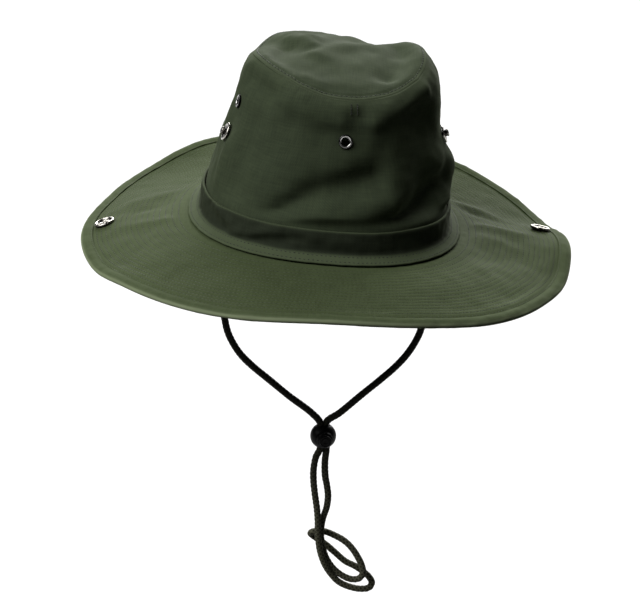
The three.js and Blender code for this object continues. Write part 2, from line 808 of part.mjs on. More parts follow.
const hat = new THREE.Group();
hat.add(crown, makeBrim(), makeBrimHem(), ...makeSockets());
hat.add(makeCord(), makeLock());

export default hat;
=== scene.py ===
# %% [markdown]
# # A bush hat, dressed piece by piece
#
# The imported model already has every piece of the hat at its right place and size. This lesson
# dresses it: each plain cloth wall becomes a fine mesh with folds, seams and stitches, the small
# metal and plastic fittings get their real profiles, and every piece gets a finish made of nodes.
#
# Lengths below are in millimetres, because that is how hats are cut. They turn into metres only
# when a mesh is made. +Z is up, the front of the hat is -Y, and left is -X, as seen from the front.

import json
import math

import bpy
import numpy as np
from mathutils import Euler, Matrix, Vector

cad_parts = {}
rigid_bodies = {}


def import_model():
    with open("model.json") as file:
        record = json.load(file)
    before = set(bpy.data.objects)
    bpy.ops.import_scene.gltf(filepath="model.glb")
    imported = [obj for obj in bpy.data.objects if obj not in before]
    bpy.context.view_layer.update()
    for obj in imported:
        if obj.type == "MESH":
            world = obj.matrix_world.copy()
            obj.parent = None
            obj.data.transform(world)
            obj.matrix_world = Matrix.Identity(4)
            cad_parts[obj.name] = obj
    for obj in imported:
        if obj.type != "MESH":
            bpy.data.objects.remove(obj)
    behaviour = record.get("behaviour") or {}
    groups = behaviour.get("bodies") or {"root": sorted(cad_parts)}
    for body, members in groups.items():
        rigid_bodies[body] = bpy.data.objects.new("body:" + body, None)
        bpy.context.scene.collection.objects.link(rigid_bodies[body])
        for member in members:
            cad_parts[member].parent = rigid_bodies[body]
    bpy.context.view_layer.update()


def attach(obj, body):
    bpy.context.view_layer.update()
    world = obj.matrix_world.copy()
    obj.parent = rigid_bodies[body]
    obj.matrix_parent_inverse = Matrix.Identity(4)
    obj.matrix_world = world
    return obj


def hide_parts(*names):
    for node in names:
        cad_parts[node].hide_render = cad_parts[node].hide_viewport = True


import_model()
MM = 0.001

# %% [markdown]
# ## Camera
#
# The camera comes first, because everything is judged through it. It stands 1.6 m in front of
# the hat and looks down 20 degrees, with a long lens, so the brim is seen as a flat oval.

# %% Place the camera
CAMERA_PLACE = (-0.002817, -1.525426, 0.487012)
CAMERA_DOWN = math.radians(20)
SENSOR_WIDTH = 36
FOCAL_LENGTH = 127.8

camera_data = bpy.data.cameras.new("camera")
camera_data.sensor_width = SENSOR_WIDTH
camera_data.lens = FOCAL_LENGTH
camera = bpy.data.objects.new("camera", camera_data)
camera.location = CAMERA_PLACE
camera.rotation_euler = Euler((math.pi / 2 - CAMERA_DOWN, 0, 0))
bpy.context.scene.collection.objects.link(camera)
bpy.context.scene.camera = camera
print("camera", CAMERA_PLACE, "lens", FOCAL_LENGTH)

# %% [markdown]
# ## Tables and the curves through them
#
# The hat's form is a few short tables of measures: sections of the crown, the height of its top
# seam, the brim's edge. A smooth curve runs through each column, so a table with ten rows gives
# a surface with thousands of points. Working on whole arrays at once keeps this quick.


# %% Tables with named columns
def table(names, *rows):
    """Rows of numbers as a dictionary of named columns."""
    return dict(zip(names.split(), np.array(rows, float).T))


def curve_through(columns, at, name, period=0.0):
    """A smooth curve through one column. With a period, its ends join up."""
    x, y = columns[at], columns[name]
    if period:
        x = np.concatenate([x[-2:] - period, x, x[:2] + period])
        y = np.concatenate([y[-2:], y, y[:2]])
    order = np.arange(len(x))
    left, right = np.maximum(order - 1, 0), np.minimum(order + 1, len(x) - 1)
    slope = (y[right] - y[left]) / (x[right] - x[left])

    def value(place):
        place = np.mod(place, period) if period else np.asarray(place, float)
        i = np.clip(np.searchsorted(x, place) - 1, 0, len(x) - 2)
        span = x[i + 1] - x[i]
        t = (place - x[i]) / span
        start_pull = (t**3 - 2 * t**2 + t) * span * slope[i]
        end_pull = (t**3 - t**2) * span * slope[i + 1]
        return y[i] + (y[i + 1] - y[i]) * t * t * (3 - 2 * t) + start_pull + end_pull

    return value


def smooth_step(value, low, high):
    """0 below low, 1 above high, and an even S between them."""
    t = np.clip((value - low) / (high - low), 0, 1)
    return t * t * (3 - 2 * t)


# %% [markdown]
# All the sizes stand in one place. The tables give the crown's half width and half depth at shares
# of its height, and the height of its top seam and the brim's edge at angles round from +X.
# Measures in a table are easy to compare with the real thing, and easy to change.

# %% Sizes of the hat
GAP = 0.3  # clearance that touching pieces keep
CLOTH = 1.6  # two plies of drill
CROWN_LEAN = math.radians(5)  # the soft crown leans toward +X
FRONT = 275  # middle of the crown's front, in degrees round from +X

CROWN = table(
    "share half_width half_depth square",
    (0.0, 85.5, 98, 2.4),
    (0.2, 84, 95.5, 2.35),
    (0.45, 77.5, 89.5, 2.3),
    (0.7, 68.9, 82, 2.2),
    (0.9, 65, 76.5, 2.1),
    (0.96, 62.2, 74.5, 2.1),
    (1.0, 58.2, 71.5, 2.1),
)
TIP_SEAM = table(
    "angle height",
    (0, 122),
    (30, 120),
    (55, 110),
    (110, 115),
    (140, 116),
    (165, 112),
    (200, 116),
    (230, 112),
    (270, 104),
    (310, 106.5),
    (335, 114),
)
BRIM_EDGE = table(
    "angle reach height bow",
    (0, 89, -21, 2),
    (20, 85, -26, 1),
    (40, 82, -15, 0),
    (60, 80, -1, 0),
    (90, 80, 10, 0),
    (120, 80, 12, 0),
    (140, 81, 0, 0),
    (160, 81, -6, 0),
    (180, 86, -11, 2),
    (200, 81, -16, 3),
    (220, 78, -12, 3),
    (250, 80, -13, 3),
    (270, 81, -13, 3),
    (290, 79, -20, 4),
    (310, 79, -29, 5),
    (330, 81, -33, 5),
    (345, 86, -32, 3),
)
crown_half_width = curve_through(CROWN, "share", "half_width")
crown_half_depth = curve_through(CROWN, "share", "half_depth")
crown_square = curve_through(CROWN, "share", "square")
seam_height = curve_through(TIP_SEAM, "angle", "height", 360)
brim_reach = curve_through(BRIM_EDGE, "angle", "reach", 360)
brim_height = curve_through(BRIM_EDGE, "angle", "height", 360)
brim_bow = curve_through(BRIM_EDGE, "angle", "bow", 360)
print("top seam from", seam_height(270).round(1), "to", seam_height(0).round(1), "mm high")

# %% [markdown]
# ## The crown's form
#
# The crown is an oval tube that narrows upward. A point on it is found in two steps: the smooth
# outline at that share of its height, and then a push along the outward direction for every fold
# of the soft cloth that passes near. A fold is a rounded ridge or furrow along a sagging line.


# %% The crown's outline
def raised(value, power):
    return np.sign(value) * np.abs(value) ** power


def crown_outline(angle, share):
    """The smooth outline at a share of the crown's height: x, y and the direction out of it."""
    turn = np.radians(angle)
    across, along = np.cos(turn), np.sin(turn)
    half_width, half_depth = crown_half_width(share), crown_half_depth(share)
    power = 2 / crown_square(share)
    out_x = raised(across, 2 - power) / half_width
    out_y = raised(along, 2 - power) / half_depth
    length = np.hypot(out_x, out_y)
    x, y = half_width * raised(across, power), half_depth * raised(along, power)
    return x, y, out_x / length, out_y / length


def fold_lift(x, y, x0, y0, x1, y1, sag, width, rise):
    """How far one fold lifts the cloth at points of its plane."""
    run_x, run_y = x1 - x0, y1 - y0
    along = ((x - x0) * run_x + (y - y0) * run_y) / (run_x**2 + run_y**2)
    along = np.clip(along, 0, 1)
    off_x = x - x0 - along * run_x
    off_y = y - y0 - along * run_y - sag * 4 * along * (1 - along)
    return rise * np.exp(-(off_x**2 + off_y**2) / width**2)


# %% [markdown]
# Washed cotton folds where it is pushed. A cloth simulation could make folds, but not these folds
# in these places. So each fold is one row: where it starts and ends, how far it sags in between,
# how wide it is, and how far it rises. A furrow is a fold that sinks.

# %% Folds of the side wall and dents of the tip
# The broad ones come first. The fine ones after them are the small creases of washed cotton.
WALL_RADIUS = 80  # the side wall is unrolled on this radius to measure its folds
UNROLL = math.radians(1) * WALL_RADIUS  # flat millimetres in one degree round
BAND_HEIGHT = 21
BAND_CLEAR = BAND_HEIGHT + 1  # the wall is smooth up to here
CROWN_FOLDS = table(
    "angle height to_angle to_height sag width rise",
    (246, 20, 290, 54, 8, 9, -6),
    (252, 20, 298, 37, 3, 10, 3.5),
    (294, 18, 345, 44, 3, 10, -6),
    (344, 24, 358, 48, 0, 10, 4),
    (322, 34, 326, 84, 0, 15, -3),
    (346, 98, 372, 98, 0, 22, 5),
    (346, 52, 376, 50, 0, 18, 4.2),
    (204, 56, 205, 36, 0, 8, 2),
    (220, 76, 220, 36, 0, 10, -3),
    (203, 104, 227, 100, 0, 8, -3),
    (243, 99, 272, 92, 0, 8, 3),
    (292, 92, 332, 108, 0, 7, 3),
    (60, 40, 118, 62, 6, 11, -4),
    (128, 66, 160, 38, 0, 10, -3.5),
    (22, 40, 50, 66, 4, 10, -3.5),
)
TIP_DOME = 4  # how far the middle of the tip rises above its seam
TIP_RIM = 0.95  # share of the tip's radius where its level rim begins
TIP_FOLDS = table(
    "x y to_x to_y sag width rise",
    (-36, 4, -43, -30, 0, 8, -3.2),
    (-34, 21, -19, 3, 0, 6, 2.4),
    (-15, -15, 13, 20, 0, 9, 3.0),
    (-36, 36, -22, 20, 0, 9, 3),
    (-20, 12, 8, 50, 0, 12, 3),
    (46, 18, 36, -34, 0, 12, -5),
)


def rows_of(columns):
    """A table's rows, one tuple after another."""
    return zip(*columns.values())


def folds_lift(folds, angle, height, turns=(0,)):
    """How far a table of folds lifts cloth that runs round the crown."""
    lift = 0
    for start, low, end, high, *shape in rows_of(folds):
        for turn in turns:
            place = (angle + turn) * UNROLL
            lift = lift + fold_lift(place, height, start * UNROLL, low, end * UNROLL, high, *shape)
    return lift


def crown_fold_lift(angle, height):
    """How far the folds lift the side wall. They reach round past 0 and 360 degrees."""
    lift = folds_lift(CROWN_FOLDS, angle, height, turns=(-360, 0, 360))
    return lift * smooth_step(height, BAND_CLEAR, BAND_CLEAR + 8)


def crown_wall(angle, height, out=0.0):
    """Points of the side wall, or so far out from it."""
    share = height / seam_height(angle)
    x, y, out_x, out_y = crown_outline(angle, share)
    lift = crown_fold_lift(angle, height) + out
    return np.stack(np.broadcast_arrays(x + out_x * lift, y + out_y * lift, height), -1)


TIP_MIDDLE = float(np.mean(seam_height([0, 90, 180, 270])))


def crown_tip(angle, share):
    """Points of the tip's upper face. Share is 1 at its seam and 0 at its middle."""
    x, y, _, _ = crown_outline(angle, 1.0)
    x, y = x * share, y * share
    inside = np.minimum(share / TIP_RIM, 1)
    height = TIP_MIDDLE + (seam_height(angle) - TIP_MIDDLE) * inside**2
    lift = 0
    for fold in rows_of(TIP_FOLDS):
        lift = lift + fold_lift(x, y, *fold)
    lift = TIP_DOME * (1 - inside**2) + lift * (1 - smooth_step(inside, 0.75, 1))
    return np.stack(np.broadcast_arrays(x, y, height + GAP + CLOTH + lift), -1)


def leaned(points):
    """Points of the crown's own frame, turned as the crown leans."""
    x, y, z = np.moveaxis(points, -1, 0)
    cosine, sine = math.cos(CROWN_LEAN), math.sin(CROWN_LEAN)
    return np.stack([x * cosine + z * sine, y, z * cosine - x * sine], -1)


print("front of the wall, halfway up:", leaned(crown_wall(np.array(FRONT), 53.0)).round(1), "mm")

# %% [markdown]
# ## The brim's form
#
# The brim starts level with the crown's foot and ends at an edge whose reach, height and bow are
# tabled. In between, one curve with a single control point bends it, which is how a stitched
# brim behaves: stiff, with one gentle bow and no ripples.

# %% The brim's edge and upper face
BRIM_SEAT = 12  # breadth of the flat ring under the hat band
HEM_WIDTH = 8
HEM_THICKNESS = 1


def unit(vectors):
    return vectors / np.linalg.norm(vectors, axis=-1, keepdims=True)


def beside_crown(angle, offset, height):
    """Points level with the crown's foot, so far out from its wall."""
    share = np.maximum(height, 0) / seam_height(angle)
    x, y, out_x, out_y = crown_outline(angle, share)
    points = np.broadcast_arrays(x + out_x * offset, y + out_y * offset, height)
    return leaned(np.stack(points, -1))


def brim_edge(angle):
    """The brim's edge: seat, middle and top corner, and the directions out of it and up."""
    seat, foot = beside_crown(angle, BRIM_SEAT, -GAP), beside_crown(angle, 0, -GAP)
    level = unit((seat - foot) * [1, 1, 0])
    corner = foot + level * (brim_reach(angle) - HEM_THICKNESS - GAP)[..., None]
    corner[..., 2] = brim_height(angle)
    middle = (seat + corner) / 2
    middle[..., 2] += brim_bow(angle)
    out = unit(corner - middle)
    up = unit(np.cross(out, np.cross([0, 0, 1], level)))
    return seat, middle, corner, out, up


def brim_curve(angle, share):
    """Points of the brim's upper face. Share is 0 at the hat band and 1 just inside the hem."""
    seat, middle, corner, out, _ = brim_edge(angle)
    hem_line = corner - out * (HEM_WIDTH + 1)
    control = middle + (hem_line - middle) * 0.1
    share = np.asarray(share)[..., None]
    first = seat + (control - seat) * share
    second = control + (hem_line - control) * share
    return first + (second - first) * share


print("brim from", brim_edge(np.array(180.0))[2].round(1), "to", brim_edge(np.array(0.0))[2].round(1))

# %% [markdown]
# ## Meshes from grids
#
# Every cloth piece is a grid of points that closes round the hat: rows go up the wall or in from
# the edge, columns go round. The outer face, the folded edge and the inner face are all rows of
# the same grid, so a piece is one closed skin with a real thickness. Each corner also gets its
# place on the flat cloth in millimetres, which the weave is drawn on later.


# %% Mesh helpers
def new_piece(name, mesh, material=None):
    piece = bpy.data.objects.new(name, mesh)
    bpy.context.scene.collection.objects.link(piece)
    if material is not None:
        mesh.materials.append(material)
    return piece


def mesh_from(name, points, faces, flat=None):
    """A smooth-shaded mesh. Points are in millimetres, and flat is each corner's place on the cloth."""
    mesh = bpy.data.meshes.new(name)
    mesh.from_pydata((np.asarray(points, float) * MM).tolist(), [], faces)
    if flat is not None:
        layer = mesh.uv_layers.new(name="flat_mm")
        layer.uv.foreach_set("vector", np.asarray(flat, np.float32).ravel())
    mesh.shade_smooth()
    return mesh


def seen_from_above(grid):
    """The x and y of a grid's points, with the first column again at the end."""
    return np.concatenate([grid, grid[:, :1]], 1)[..., :2]


def grid_mesh(name, grid, flat=None, hoop=True, **values):
    """A mesh from a grid of rows and columns whose columns close. A hoop's rows close too, and
    else both its open ends are capped. Flat is the grid's place on the flat cloth, with one
    column more, and the values are numbers that a material reads at each point."""
    rows, columns, _ = grid.shape
    flat = seen_from_above(grid) if flat is None else flat
    row = np.arange(rows if hoop else rows - 1)[:, None]
    column = np.arange(columns)[None, :]
    above, beside = (row + 1) % rows, (column + 1) % columns
    corners = [(row, column), (row, beside), (above, beside), (above, column)]
    faces = np.stack([r * columns + c for r, c in corners], -1).reshape(-1, 4).tolist()
    places = [(row, column), (row, column + 1), (above, column + 1), (above, column)]
    corner_flat = np.stack([flat[r, c] for r, c in places], -2).reshape(-1, 2)
    if not hoop:
        last = (rows - 1) * columns
        faces += [list(range(columns))[::-1], list(range(last, last + columns))]
        corner_flat = np.concatenate([corner_flat, flat[0, :-1][::-1], flat[-1, :-1]])
    mesh = mesh_from(name, grid.reshape(-1, 3), faces, corner_flat)
    for title, numbers in values.items():
        layer = mesh.attributes.new(title, "FLOAT", "POINT")
        numbers = np.broadcast_to(numbers, (rows, columns))
        layer.data.foreach_set("value", numbers.astype(np.float32).ravel())
    return mesh


def normals_of(grid):
    """The direction out of the cloth at each point of a grid whose columns close."""
    along = np.roll(grid, -1, 1) - np.roll(grid, 1, 1)
    return unit(np.cross(along, np.gradient(grid, axis=0)))


def apply_modifiers(piece):
    """Makes what a piece's modifiers show into its own mesh."""
    shown = piece.evaluated_get(bpy.context.evaluated_depsgraph_get())
    fresh = bpy.data.meshes.new_from_object(shown)
    piece.modifiers.clear()
    piece.data = fresh


def cut_from(piece, tool):
    """Cuts one mesh out of another."""
    cut = piece.modifiers.new("cut", "BOOLEAN")
    cut.operation, cut.solver, cut.object = "DIFFERENCE", "EXACT", tool
    apply_modifiers(piece)
    bpy.data.objects.remove(tool)


def ripples(points, size, seed, waves=20):
    """An uneven, rolling height of about 1 at each point, with waves about size millimetres long."""
    random = np.random.default_rng(seed)
    height = np.zeros(points.shape[:-1])
    for _ in range(waves):
        run = unit(random.normal(size=3)) * 2 * math.pi / (size * random.uniform(0.7, 1.7))
        height += np.sin(points @ run + random.uniform(0, 2 * math.pi))
    return height / math.sqrt(waves / 2)


def round_about(columns):
    """Angles of the columns, and of the columns with the first one again at the end."""
    closed = np.linspace(0, 360, columns + 1)
    return closed[:-1], closed

# %% [markdown]
# ## Finishes
#
# Every finish is built from nodes. One helper adds a node, sets what it is told and makes its
# links. Short helpers on top of it add the nodes that are used again and again, so a material
# reads as a list from pattern to surface. Colours are written as people pick them, in sRGB hex,
# and one function turns them to the linear values light uses.


# %% Colour and node helpers
def linear(hex_colour):
    """An sRGB hex colour as linear red, green, blue and alpha."""
    parts = [int(hex_colour[i : i + 2], 16) / 255 for i in (1, 3, 5)]
    return [c / 12.92 if c <= 0.04045 else ((c + 0.055) / 1.055) ** 2.4 for c in parts] + [1]


def new_material(name):
    material = bpy.data.materials.new(name)
    material.use_nodes = True
    material.node_tree.nodes.clear()
    return material, material.node_tree


def add_node(tree, kind, settings=None, inputs=None):
    """Adds a node. Settings are its own properties. Inputs are numbers, colours, or outputs to link."""
    node = tree.nodes.new("ShaderNode" + kind)
    for name, value in (settings or {}).items():
        setattr(node, name, value)
    for name, value in (inputs or {}).items():
        socket = node.inputs[name]
        if isinstance(value, bpy.types.NodeSocket):
            tree.links.new(value, socket)
        else:
            socket.default_value = value
    return node


def add_surface(tree, inputs):
    """The material's surface. It is one Principled shader with these inputs."""
    surface = add_node(tree, "BsdfPrincipled", {}, inputs)
    add_node(tree, "OutputMaterial", {}, {"Surface": surface.outputs[0]})


def flat_place(tree):
    """The place on the flat cloth, in millimetres."""
    return add_node(tree, "UVMap", {"uv_map": "flat_mm"}).outputs[0]


def object_place(tree):
    """The place in the object, in metres."""
    return add_node(tree, "TexCoord").outputs["Object"]


def attribute(tree, name):
    """A number that the mesh keeps at each point."""
    return add_node(tree, "Attribute", {"attribute_name": name}).outputs["Fac"]


def stretched(tree, place, scale):
    return add_node(tree, "Mapping", {}, {"Vector": place, "Scale": scale}).outputs[0]


def noise(tree, place, scale, detail, roughness=0.5):
    inputs = {"Vector": place, "Scale": scale, "Detail": detail, "Roughness": roughness}
    return add_node(tree, "TexNoise", {}, inputs).outputs["Fac"]


def maths(tree, operation, *values):
    return add_node(tree, "Math", {"operation": operation}, dict(enumerate(values))).outputs[0]


def map_range(tree, value, low, high, to_low, to_high):
    inputs = {0: value, 1: low, 2: high, 3: to_low, 4: to_high}
    return add_node(tree, "MapRange", {}, inputs).outputs[0]


def bump(tree, height, strength, depth):
    """A relief without geometry. Depth is in millimetres."""
    inputs = {"Strength": strength, "Distance": depth * MM, "Height": height}
    return add_node(tree, "Bump", {}, inputs).outputs["Normal"]


def blend_colours(tree, share, first, second):
    """Two colours mixed by a share between 0 and 1."""
    inputs = {0: share, 6: first, 7: second}
    return add_node(tree, "Mix", {"data_type": "RGBA"}, inputs).outputs[2]

# %% [markdown]
# ### Cotton drill
#
# The hat is sewn from washed cotton drill, a firm twill. Cotton is rough and has no clear
# reflection, only a faint sheen from loose fibres, so its roughness is high and its specular
# level low. Real drill has about twenty threads to the centimetre, far too fine to see on a
# whole hat, so the ribs are drawn three times as coarse. Over the ribs lie slubs, the thicker
# stretches of yarn, as long thin streaks across and up the cloth, and the slight patchiness of
# washed dye. The worn attribute of a mesh marks where the pale colour
# goes. It pales edges and seams where rubbing has paled them. The band's upper fold and the crest
# of the hem's roll are partly worn and partly painted highlights. The band's upturned foot is
# painted light.
#
# One function makes the drill in four shades. The band's is the darkest, as painted shade on
# its upright front. The hem's pales most, partly from handling and partly as a painted highlight
# along its roll.

# %% Make cotton drill
TWILL_PITCH = 1.5
SLUB_LENGTH = 14
SLUB_HEIGHT = 1.1
DYE_PATCH = 45
WEAVE_DEPTH = 0.3
WAVE_PER_UNIT = 2 * math.pi / 20  # a wave texture of scale 1 repeats at this distance


def cotton_drill(name, dark, light, paled_and_lit):
    material, tree = new_material(name)
    flat = flat_place(tree)
    settings = {"wave_type": "BANDS", "bands_direction": "DIAGONAL"}
    wave_scale = 2 * WAVE_PER_UNIT / TWILL_PITCH
    inputs = {"Vector": flat, "Scale": wave_scale, "Distortion": 0.6, "Detail": 1}
    twill = add_node(tree, "TexWave", settings, inputs).outputs["Fac"]
    along_yarn, across_yarn = 1 / SLUB_LENGTH, 1 / SLUB_HEIGHT
    weft = noise(tree, stretched(tree, flat, (along_yarn, across_yarn, 1)), 1, 3, 0.6)
    warp = noise(tree, stretched(tree, flat, (across_yarn, along_yarn, 1)), 1, 3, 0.6)
    threads = maths(tree, "MULTIPLY_ADD", twill, 0.35, maths(tree, "ADD", weft, warp))
    shade = map_range(tree, threads, 0.75, 1.65, 0.0, 0.8)
    patch = noise(tree, flat, 1 / DYE_PATCH, 2)
    shade = maths(tree, "MULTIPLY_ADD", patch, 0.4, shade)
    dyed = blend_colours(tree, shade, linear(dark), linear(light))
    surface = {
        "Base Color": blend_colours(tree, attribute(tree, "worn"), dyed, linear(paled_and_lit)),
        "Roughness": 0.88,
        "Specular IOR Level": 0.06,
        "Sheen Weight": 0.06,
        "Sheen Roughness": 0.5,
        "Sheen Tint": linear("#a3b07c"),
        "Normal": bump(tree, threads, 0.1, WEAVE_DEPTH),
    }
    add_surface(tree, surface)
    return material


drill_crown = cotton_drill("cotton_drill_crown", "#2e3529", "#414a36", "#6f785d")
# The band's drill is painted darker, as shade on its upright front.
drill_band_painted_shade = cotton_drill("cotton_drill_band_painted_shade", "#21251c", "#2f3529", "#515b43")
drill_brim = cotton_drill("cotton_drill_brim", "#38402a", "#4b563a", "#727d5e")
drill_hem = cotton_drill("cotton_drill_hem", "#3a422d", "#4d583c", "#8b9676")
print("cotton drill in", len(bpy.data.materials), "shades")

# %% [markdown]
# ## The crown's side wall
#
# The side wall is a strip of drill, sewn into a tube and eased on to the oval tip. The grid
# follows the table's form. On top come small things that a plain wall lacks: a rolling
# unevenness, puckers where the stitches of the seam draw the cloth in, and a soft shoulder at
# the front, where the wall rounds in to the seam.
#
# The outer face, listed upward, and the inner face, listed downward, are one hoop of rows.

# %% Make the side wall
AROUND = 480
COLUMN_ANGLES, CLOSED_ANGLES = round_about(AROUND)
WALL_SHARES = np.concatenate([[0, 0.08, 0.15], np.linspace(0.17, 0.985, 92), [0.992, 1.0]])
INSIDE_SHARES = np.concatenate([np.linspace(1.0, 0.17, 30), [0.08, 0]])
SEAM_PUCKER = 9  # length of a pucker along the seam
SEAM_REACH = 6  # how far the puckers run from it
SHOULDER_DEPTH = 2.2
SHOULDER_REACH = 16


def shoulder(angle, below_seam):
    """How far the front of the crown rounds in towards the seam, in millimetres."""
    from_front = np.abs((angle - FRONT + 180) % 360 - 180)
    near = np.clip(1 - below_seam / SHOULDER_REACH, 0, 1)
    return SHOULDER_DEPTH * smooth_step(from_front, 78, 40) * near**2


def seam_shift(angle):
    """How far out of the plain oval the seam lies, in millimetres."""
    return crown_fold_lift(angle, seam_height(angle)) - shoulder(angle, 0)


def wall_relief(grid, angle, share):
    """Small unevenness of the wall, in millimetres along its outward direction."""
    height = share * seam_height(angle)
    below_seam = seam_height(angle) - height
    soft = smooth_step(height, BAND_CLEAR - 2, BAND_CLEAR + 14)
    rolling = 0.5 * ripples(grid, 38, seed=3) + 0.12 * ripples(grid, 13, seed=5)
    pucker = 0.28 * ripples(grid * [1, 1, 0.2], SEAM_PUCKER, seed=8) * np.exp(-below_seam / SEAM_REACH)
    return (soft * rolling + pucker) * smooth_step(below_seam, 0.6, 4.5)


def wall_at(share, out=0.0):
    angle, share = np.meshgrid(COLUMN_ANGLES, share)
    grid = crown_wall(angle, share * seam_height(angle))
    _, _, out_x, out_y = crown_outline(angle, share)
    inward = shoulder(angle, (1 - share) * seam_height(angle))
    grid = grid - np.stack([out_x * inward, out_y * inward, 0 * inward], -1)
    return grid + normals_of(grid) * (wall_relief(grid, angle, share) + out)[..., None]


def flat_wall(share):
    """Each point's place on the flat strip of cloth."""
    angle, share = np.meshgrid(CLOSED_ANGLES, share)
    return np.stack([np.radians(angle) * WALL_RADIUS, share * seam_height(angle)], -1)


# Rows listed downward are turned over for their normals, and back again.
inner_wall = wall_at(INSIDE_SHARES[::-1], out=-CLOTH)[::-1]
wall_grid = np.concatenate([wall_at(WALL_SHARES), inner_wall])
wall_flat = flat_wall(np.concatenate([WALL_SHARES, INSIDE_SHARES]))
wall_worn = np.zeros(wall_grid.shape[:2])
seam_distance = (1 - WALL_SHARES[:, None]) * seam_height(COLUMN_ANGLES)
wall_worn[: len(WALL_SHARES)] = 0.12 * np.exp(-seam_distance / 3)
wall_mesh = grid_mesh("crown_side_cloth", leaned(wall_grid), wall_flat, worn=wall_worn)
crown_side = new_piece("crown_side_cloth", wall_mesh, drill_crown)
print("side wall:", len(crown_side.data.polygons), "faces")

# %% [markdown]
# ## The tip
#
# The tip is one oval of drill. Its rim is pressed down on the top of the wall, follows the
# wall's lean and is stitched through just inside its edge, which leaves a narrow welt round the
# crown. The dents come from the table, and fine ripples run over them. The grid shrinks toward
# the middle, where a small cap closes it.

# %% Make the tip
RIM_PROFILE = table(
    "out down",
    (-0.9, 1.8),
    (0.0, 2.6),
    (0.2, 2.75),
    (0.3, 2.3),
    (0.25, 1.8),
    (0.05, 1.45),
    (-0.3, 1.3),
)
PRESSED_DOWN = 1.3
PRESSED_REACH = 6
SHIFT_REACH = 18  # how far in from its rim the tip follows the wall's folds
RIM_LEVEL = 2.1  # the rim turns about this depth as it follows the wall's lean
TIP_SHARES = np.concatenate([np.linspace(0.974, 0.9, 9), np.linspace(0.885, 0.012, 62)])
TIP_INSIDE = np.linspace(0.012, 0.965, 24)
SEAM_INSET = 2.4  # from the rim to the stitches
WELT_WIDTH = 3.6


def tip_at(share, out=0.0):
    angle, share = np.meshgrid(COLUMN_ANGLES, share)
    grid = crown_tip(angle, share)
    x, y, out_x, out_y = crown_outline(angle, 1.0)
    from_rim = (1 - share) * np.hypot(x, y)
    shift = seam_shift(angle) * smooth_step(from_rim, SHIFT_REACH, 0)
    grid = grid + np.stack([out_x * shift, out_y * shift, 0 * shift], -1)
    soft = smooth_step(from_rim, 3, 16)
    rolling = 0.45 * ripples(grid, 34, seed=21) + 0.1 * ripples(grid, 13, seed=22)
    pucker = 0.22 * ripples(grid * [1, 1, 0.2], SEAM_PUCKER, seed=23) * np.exp(-from_rim / SEAM_REACH)
    stitch_line = -0.25 * np.exp(-(((from_rim - SEAM_INSET) / 0.6) ** 2))
    welt = 0.15 * smooth_step(from_rim, WELT_WIDTH + 1.2, WELT_WIDTH - 0.8)
    pressed = 0 if out else PRESSED_DOWN * smooth_step(from_rim, PRESSED_REACH, 0)
    lift = soft * rolling + pucker + stitch_line + welt + out - pressed
    return grid + normals_of(grid) * lift[..., None]


def rim_rows():
    """The rounded edge of the tip, from its underside up to its upper face."""
    x, y, out_x, out_y = crown_outline(COLUMN_ANGLES, 1.0)
    below_x, below_y, _, _ = crown_outline(COLUMN_ANGLES, 0.98)
    lean = np.hypot(below_x - x, below_y - y) / (0.02 * seam_height(COLUMN_ANGLES))
    top = seam_height(COLUMN_ANGLES) + GAP + CLOTH
    rows = []
    for out, down in rows_of(RIM_PROFILE):
        off = out + lean * (down - RIM_LEVEL) + seam_shift(COLUMN_ANGLES)
        rows.append(np.stack([x + out_x * off, y + out_y * off, top - down], -1))
    return np.stack(rows)


inside_rows = tip_at(TIP_INSIDE[::-1], -CLOTH)[::-1]
tip_grid = np.concatenate([inside_rows, rim_rows(), tip_at(TIP_SHARES)])
tip_flat = seen_from_above(tip_grid)
tip_worn = np.zeros(tip_grid.shape[:2])
tip_worn[len(TIP_INSIDE) + 2 : len(TIP_INSIDE) + len(RIM_PROFILE["out"])] = 0.12
tip_mesh = grid_mesh("crown_tip_cloth", leaned(tip_grid), tip_flat, hoop=False, worn=tip_worn)
crown_tip_cloth = new_piece("crown_tip_cloth", tip_mesh, drill_crown)
print("tip:", len(crown_tip_cloth.data.polygons), "faces")

# %% [markdown]
# ## The hat band
#
# The band is a folded strip of drill. Its upper fold stands a little off the wall and catches
# the light, and it is painted a little paler there, partly as wear and partly as a painted
# highlight. Its foot turns out and lies on the brim, where two rows of stitches hold it, and the
# lip outside them stays free, so a thin dark line shows below it. The band's drill is painted
# darker, as shade on its upright front, and its foot is painted pale, as light on its upturned
# face. The section is a short profile, and the strip's own slackness is a slow ripple round the hat.

# %% Make the hat band
BAND_THICKNESS = 2
BAND_OUT = GAP + BAND_THICKNESS
BAND_FOLDS = table(
    "angle height to_angle to_height sag width rise",
    (205, 16, 222, 8, 0, 4.5, -1.0),
    (214, 19, 232, 10, 0, 3.5, 0.9),
    (228, 8, 252, 17, 0, 3.2, 1.2),
    (240, 7, 262, 14, 0, 3.2, -1.0),
    (262, 17, 280, 10, 0, 5, 0.6),
    (300, 14, 325, 9, 0, 5, -0.8),
    (342, 16, 352, 9, 0, 5, -0.6),
)


def band_profile():
    """The band's section from the toe of its foot, up the outside, over the fold and down inside."""
    toe = [(6.6, 0.0), (7.0, 0.85), (8.4, 1.0), (9.5, 0.9), (9.9, 1.15), (9.9, 1.7), (9.5, 2.1)]
    slope = [(8.3, 2.7), (7.0, 3.35), (5.7, 4.1), (4.4, 4.95), (3.4, 5.7)]
    heel = [(2.7, 6.4), (2.35, 7.2), (2.2, 8.2)]
    rise = np.arange(9.4, BAND_HEIGHT - 1.2, 1.1)
    face = [(BAND_OUT + 0.3 * smooth_step(h, 8, 16), h) for h in rise]
    fold = [(2.4, 20.2), (2.25, 20.7), (1.9, 21.0), (1.4, 21.0), (0.9, 20.8), (0.5, 20.3)]
    inside = [(0.32, 19.5), (0.3, 15), (0.3, 8), (0.35, 2), (0.6, 0.0), (4.0, 0.0)]
    return np.array(toe + slope + heel + face + fold + inside)


